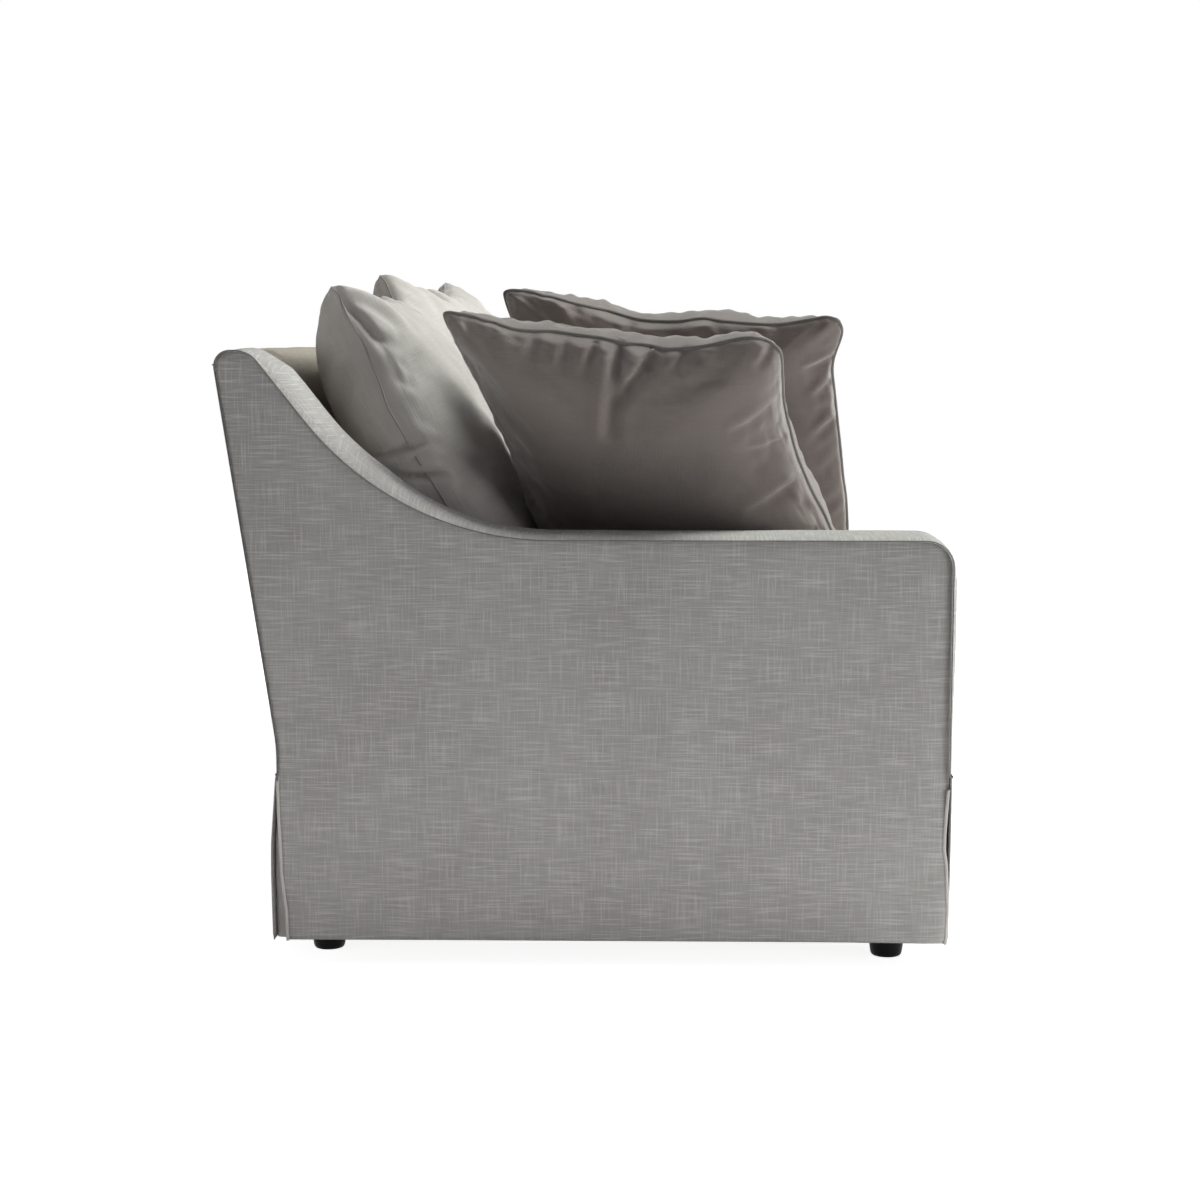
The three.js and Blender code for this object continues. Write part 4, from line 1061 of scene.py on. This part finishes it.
to_side = np.array(((0, 0, 1.0), (1, 0, 0), (0, 1, 0)))
near_outline = [
    seam_edge([(-0.318, -0.240), (-0.305, -0.248), (-0.20, -0.240), (-0.05, -0.232), (0.08, -0.236),
               (0.150, -0.247), (0.161, -0.244)]),
    seam_edge([(-0.1690, 0.2420), (-0.1605, 0.2508), (-0.1391, 0.2596), (-0.1184, 0.2572), (-0.0924, 0.2485),
               (-0.0556, 0.2351), (-0.0133, 0.2244), (0.0134, 0.2219), (0.0564, 0.2253), (0.0941, 0.2266),
               (0.1319, 0.2262), (0.1752, 0.2289), (0.2131, 0.2329), (0.2562, 0.2440), (0.2941, 0.2494),
               (0.3110, 0.2510), (0.3175, 0.2480)]),
    seam_edge([(-0.318, -0.240), (-0.3165, -0.225), (-0.3000, -0.170), (-0.2643, -0.0782), (-0.2477, -0.0405),
               (-0.2254, 0.0068), (-0.2062, 0.0533), (-0.1895, 0.1061), (-0.1794, 0.1453), (-0.1754, 0.1976),
               (-0.1733, 0.2298), (-0.1690, 0.2420)]),
    seam_edge([(0.161, -0.244), (0.170, -0.230), (0.192, -0.130), (0.226, 0.0), (0.268, 0.120),
               (0.300, 0.195), (0.317, 0.238), (0.3175, 0.2480)])]
far_outline = [
    seam_edge([(-0.285, -0.256), (-0.270, -0.262), (-0.16, -0.252), (0.0, -0.246), (0.12, -0.252),
               (0.190, -0.262), (0.200, -0.256)]),
    seam_edge([(-0.2260, 0.2690), (-0.2128, 0.2738), (-0.1860, 0.2646), (-0.1427, 0.2524), (-0.0874, 0.2495),
               (-0.0317, 0.2480), (0.0241, 0.2356), (0.0578, 0.2300), (0.0805, 0.2307), (0.1146, 0.2387),
               (0.1600, 0.2532), (0.2054, 0.2624), (0.2509, 0.2680), (0.2700, 0.2676), (0.2790, 0.2620)]),
    seam_edge([(-0.285, -0.256), (-0.2830, -0.240), (-0.2730, -0.180), (-0.2673, -0.1134), (-0.2625, -0.0708),
               (-0.2527, -0.0151), (-0.2411, 0.0668), (-0.2280, 0.1328), (-0.2207, 0.1816), (-0.2276, 0.2180),
               (-0.2356, 0.2447), (-0.2330, 0.2603), (-0.2260, 0.2690)]),
    seam_edge([(0.200, -0.256), (0.203, -0.240), (0.214, -0.120), (0.228, 0.0), (0.246, 0.120),
               (0.268, 0.210), (0.279, 0.252), (0.2790, 0.2620)])]
near_creases = [
    ((0.066, 0.242), (0.069, 0.100), 0.013, 0.0075), ((0.010, 0.234), (0.060, 0.160), 0.012, 0.0070),
    ((0.094, 0.249), (0.110, 0.190), 0.010, 0.0045), ((0.136, 0.253), (0.146, 0.195), 0.010, 0.0035),
    ((-0.180, 0.178), (-0.105, 0.132), 0.011, 0.0045), ((-0.199, 0.102), (-0.130, 0.101), 0.010, 0.0035),
    ((-0.222, 0.040), (-0.135, -0.004), 0.012, 0.0045), ((-0.163, 0.262), (-0.136, 0.228), 0.009, 0.0035),
    ((-0.042, 0.247), (-0.018, 0.205), 0.010, 0.0035), ((0.182, 0.258), (0.195, 0.205), 0.011, 0.0025)]
far_creases = [
    ((0.070, 0.248), (0.098, 0.222), 0.010, 0.0040), ((-0.224, 0.212), (-0.180, 0.190), 0.010, 0.0060),
    ((-0.231, 0.178), (-0.198, 0.140), 0.010, 0.0050), ((-0.241, 0.112), (-0.200, 0.072), 0.010, 0.0040),
    ((0.188, 0.280), (0.165, 0.240), 0.010, 0.0035)]
pillows = [
    ("near", (-0.824, -0.104, 0.7060), near_outline, 0.084, 0.078, 35, 6.7, near_creases),
    ("far", (-0.672, -0.142, 0.7220), far_outline, 0.090, 0.062, 31, 6.3, far_creases),
]
for name, centre, outline, front, rear, lean_deg, roll_deg, creases in pillows:
    turned = turn_about(2, -11) @ turn_about(1, -lean_deg) @ turn_about(0, roll_deg) @ to_side
    own_cover = cover if name == "near" else flipped(cover)
    local = filled_cover(own_cover, outline, front, rear, 0.36, 0.78, 0.03, 0.6, 0.11)
    local, fine_faces = finer(local, cover[3])
    for start, end, width, depth in creases:
        sharper = 1.7 if start[0] < -0.17 else 2.4
        crease(local, start, end, width, depth * sharper, -1)
    points = np.array(centre) + local @ turned.T
    pillow = make_piece(f"pillow_{name}", points, fine_faces, pillow_linen, "pillow_linen", f"pillow_{name}",
                        [f"throw_pillow_{name}"], turned)
    piping = tube(eased(points[cover[4]], 2), 0.0031, 8, closed=True)
    make_piece(f"pillow_piping_{name}", *piping, piping_linen, "pillow_linen", f"pillow_{name}")
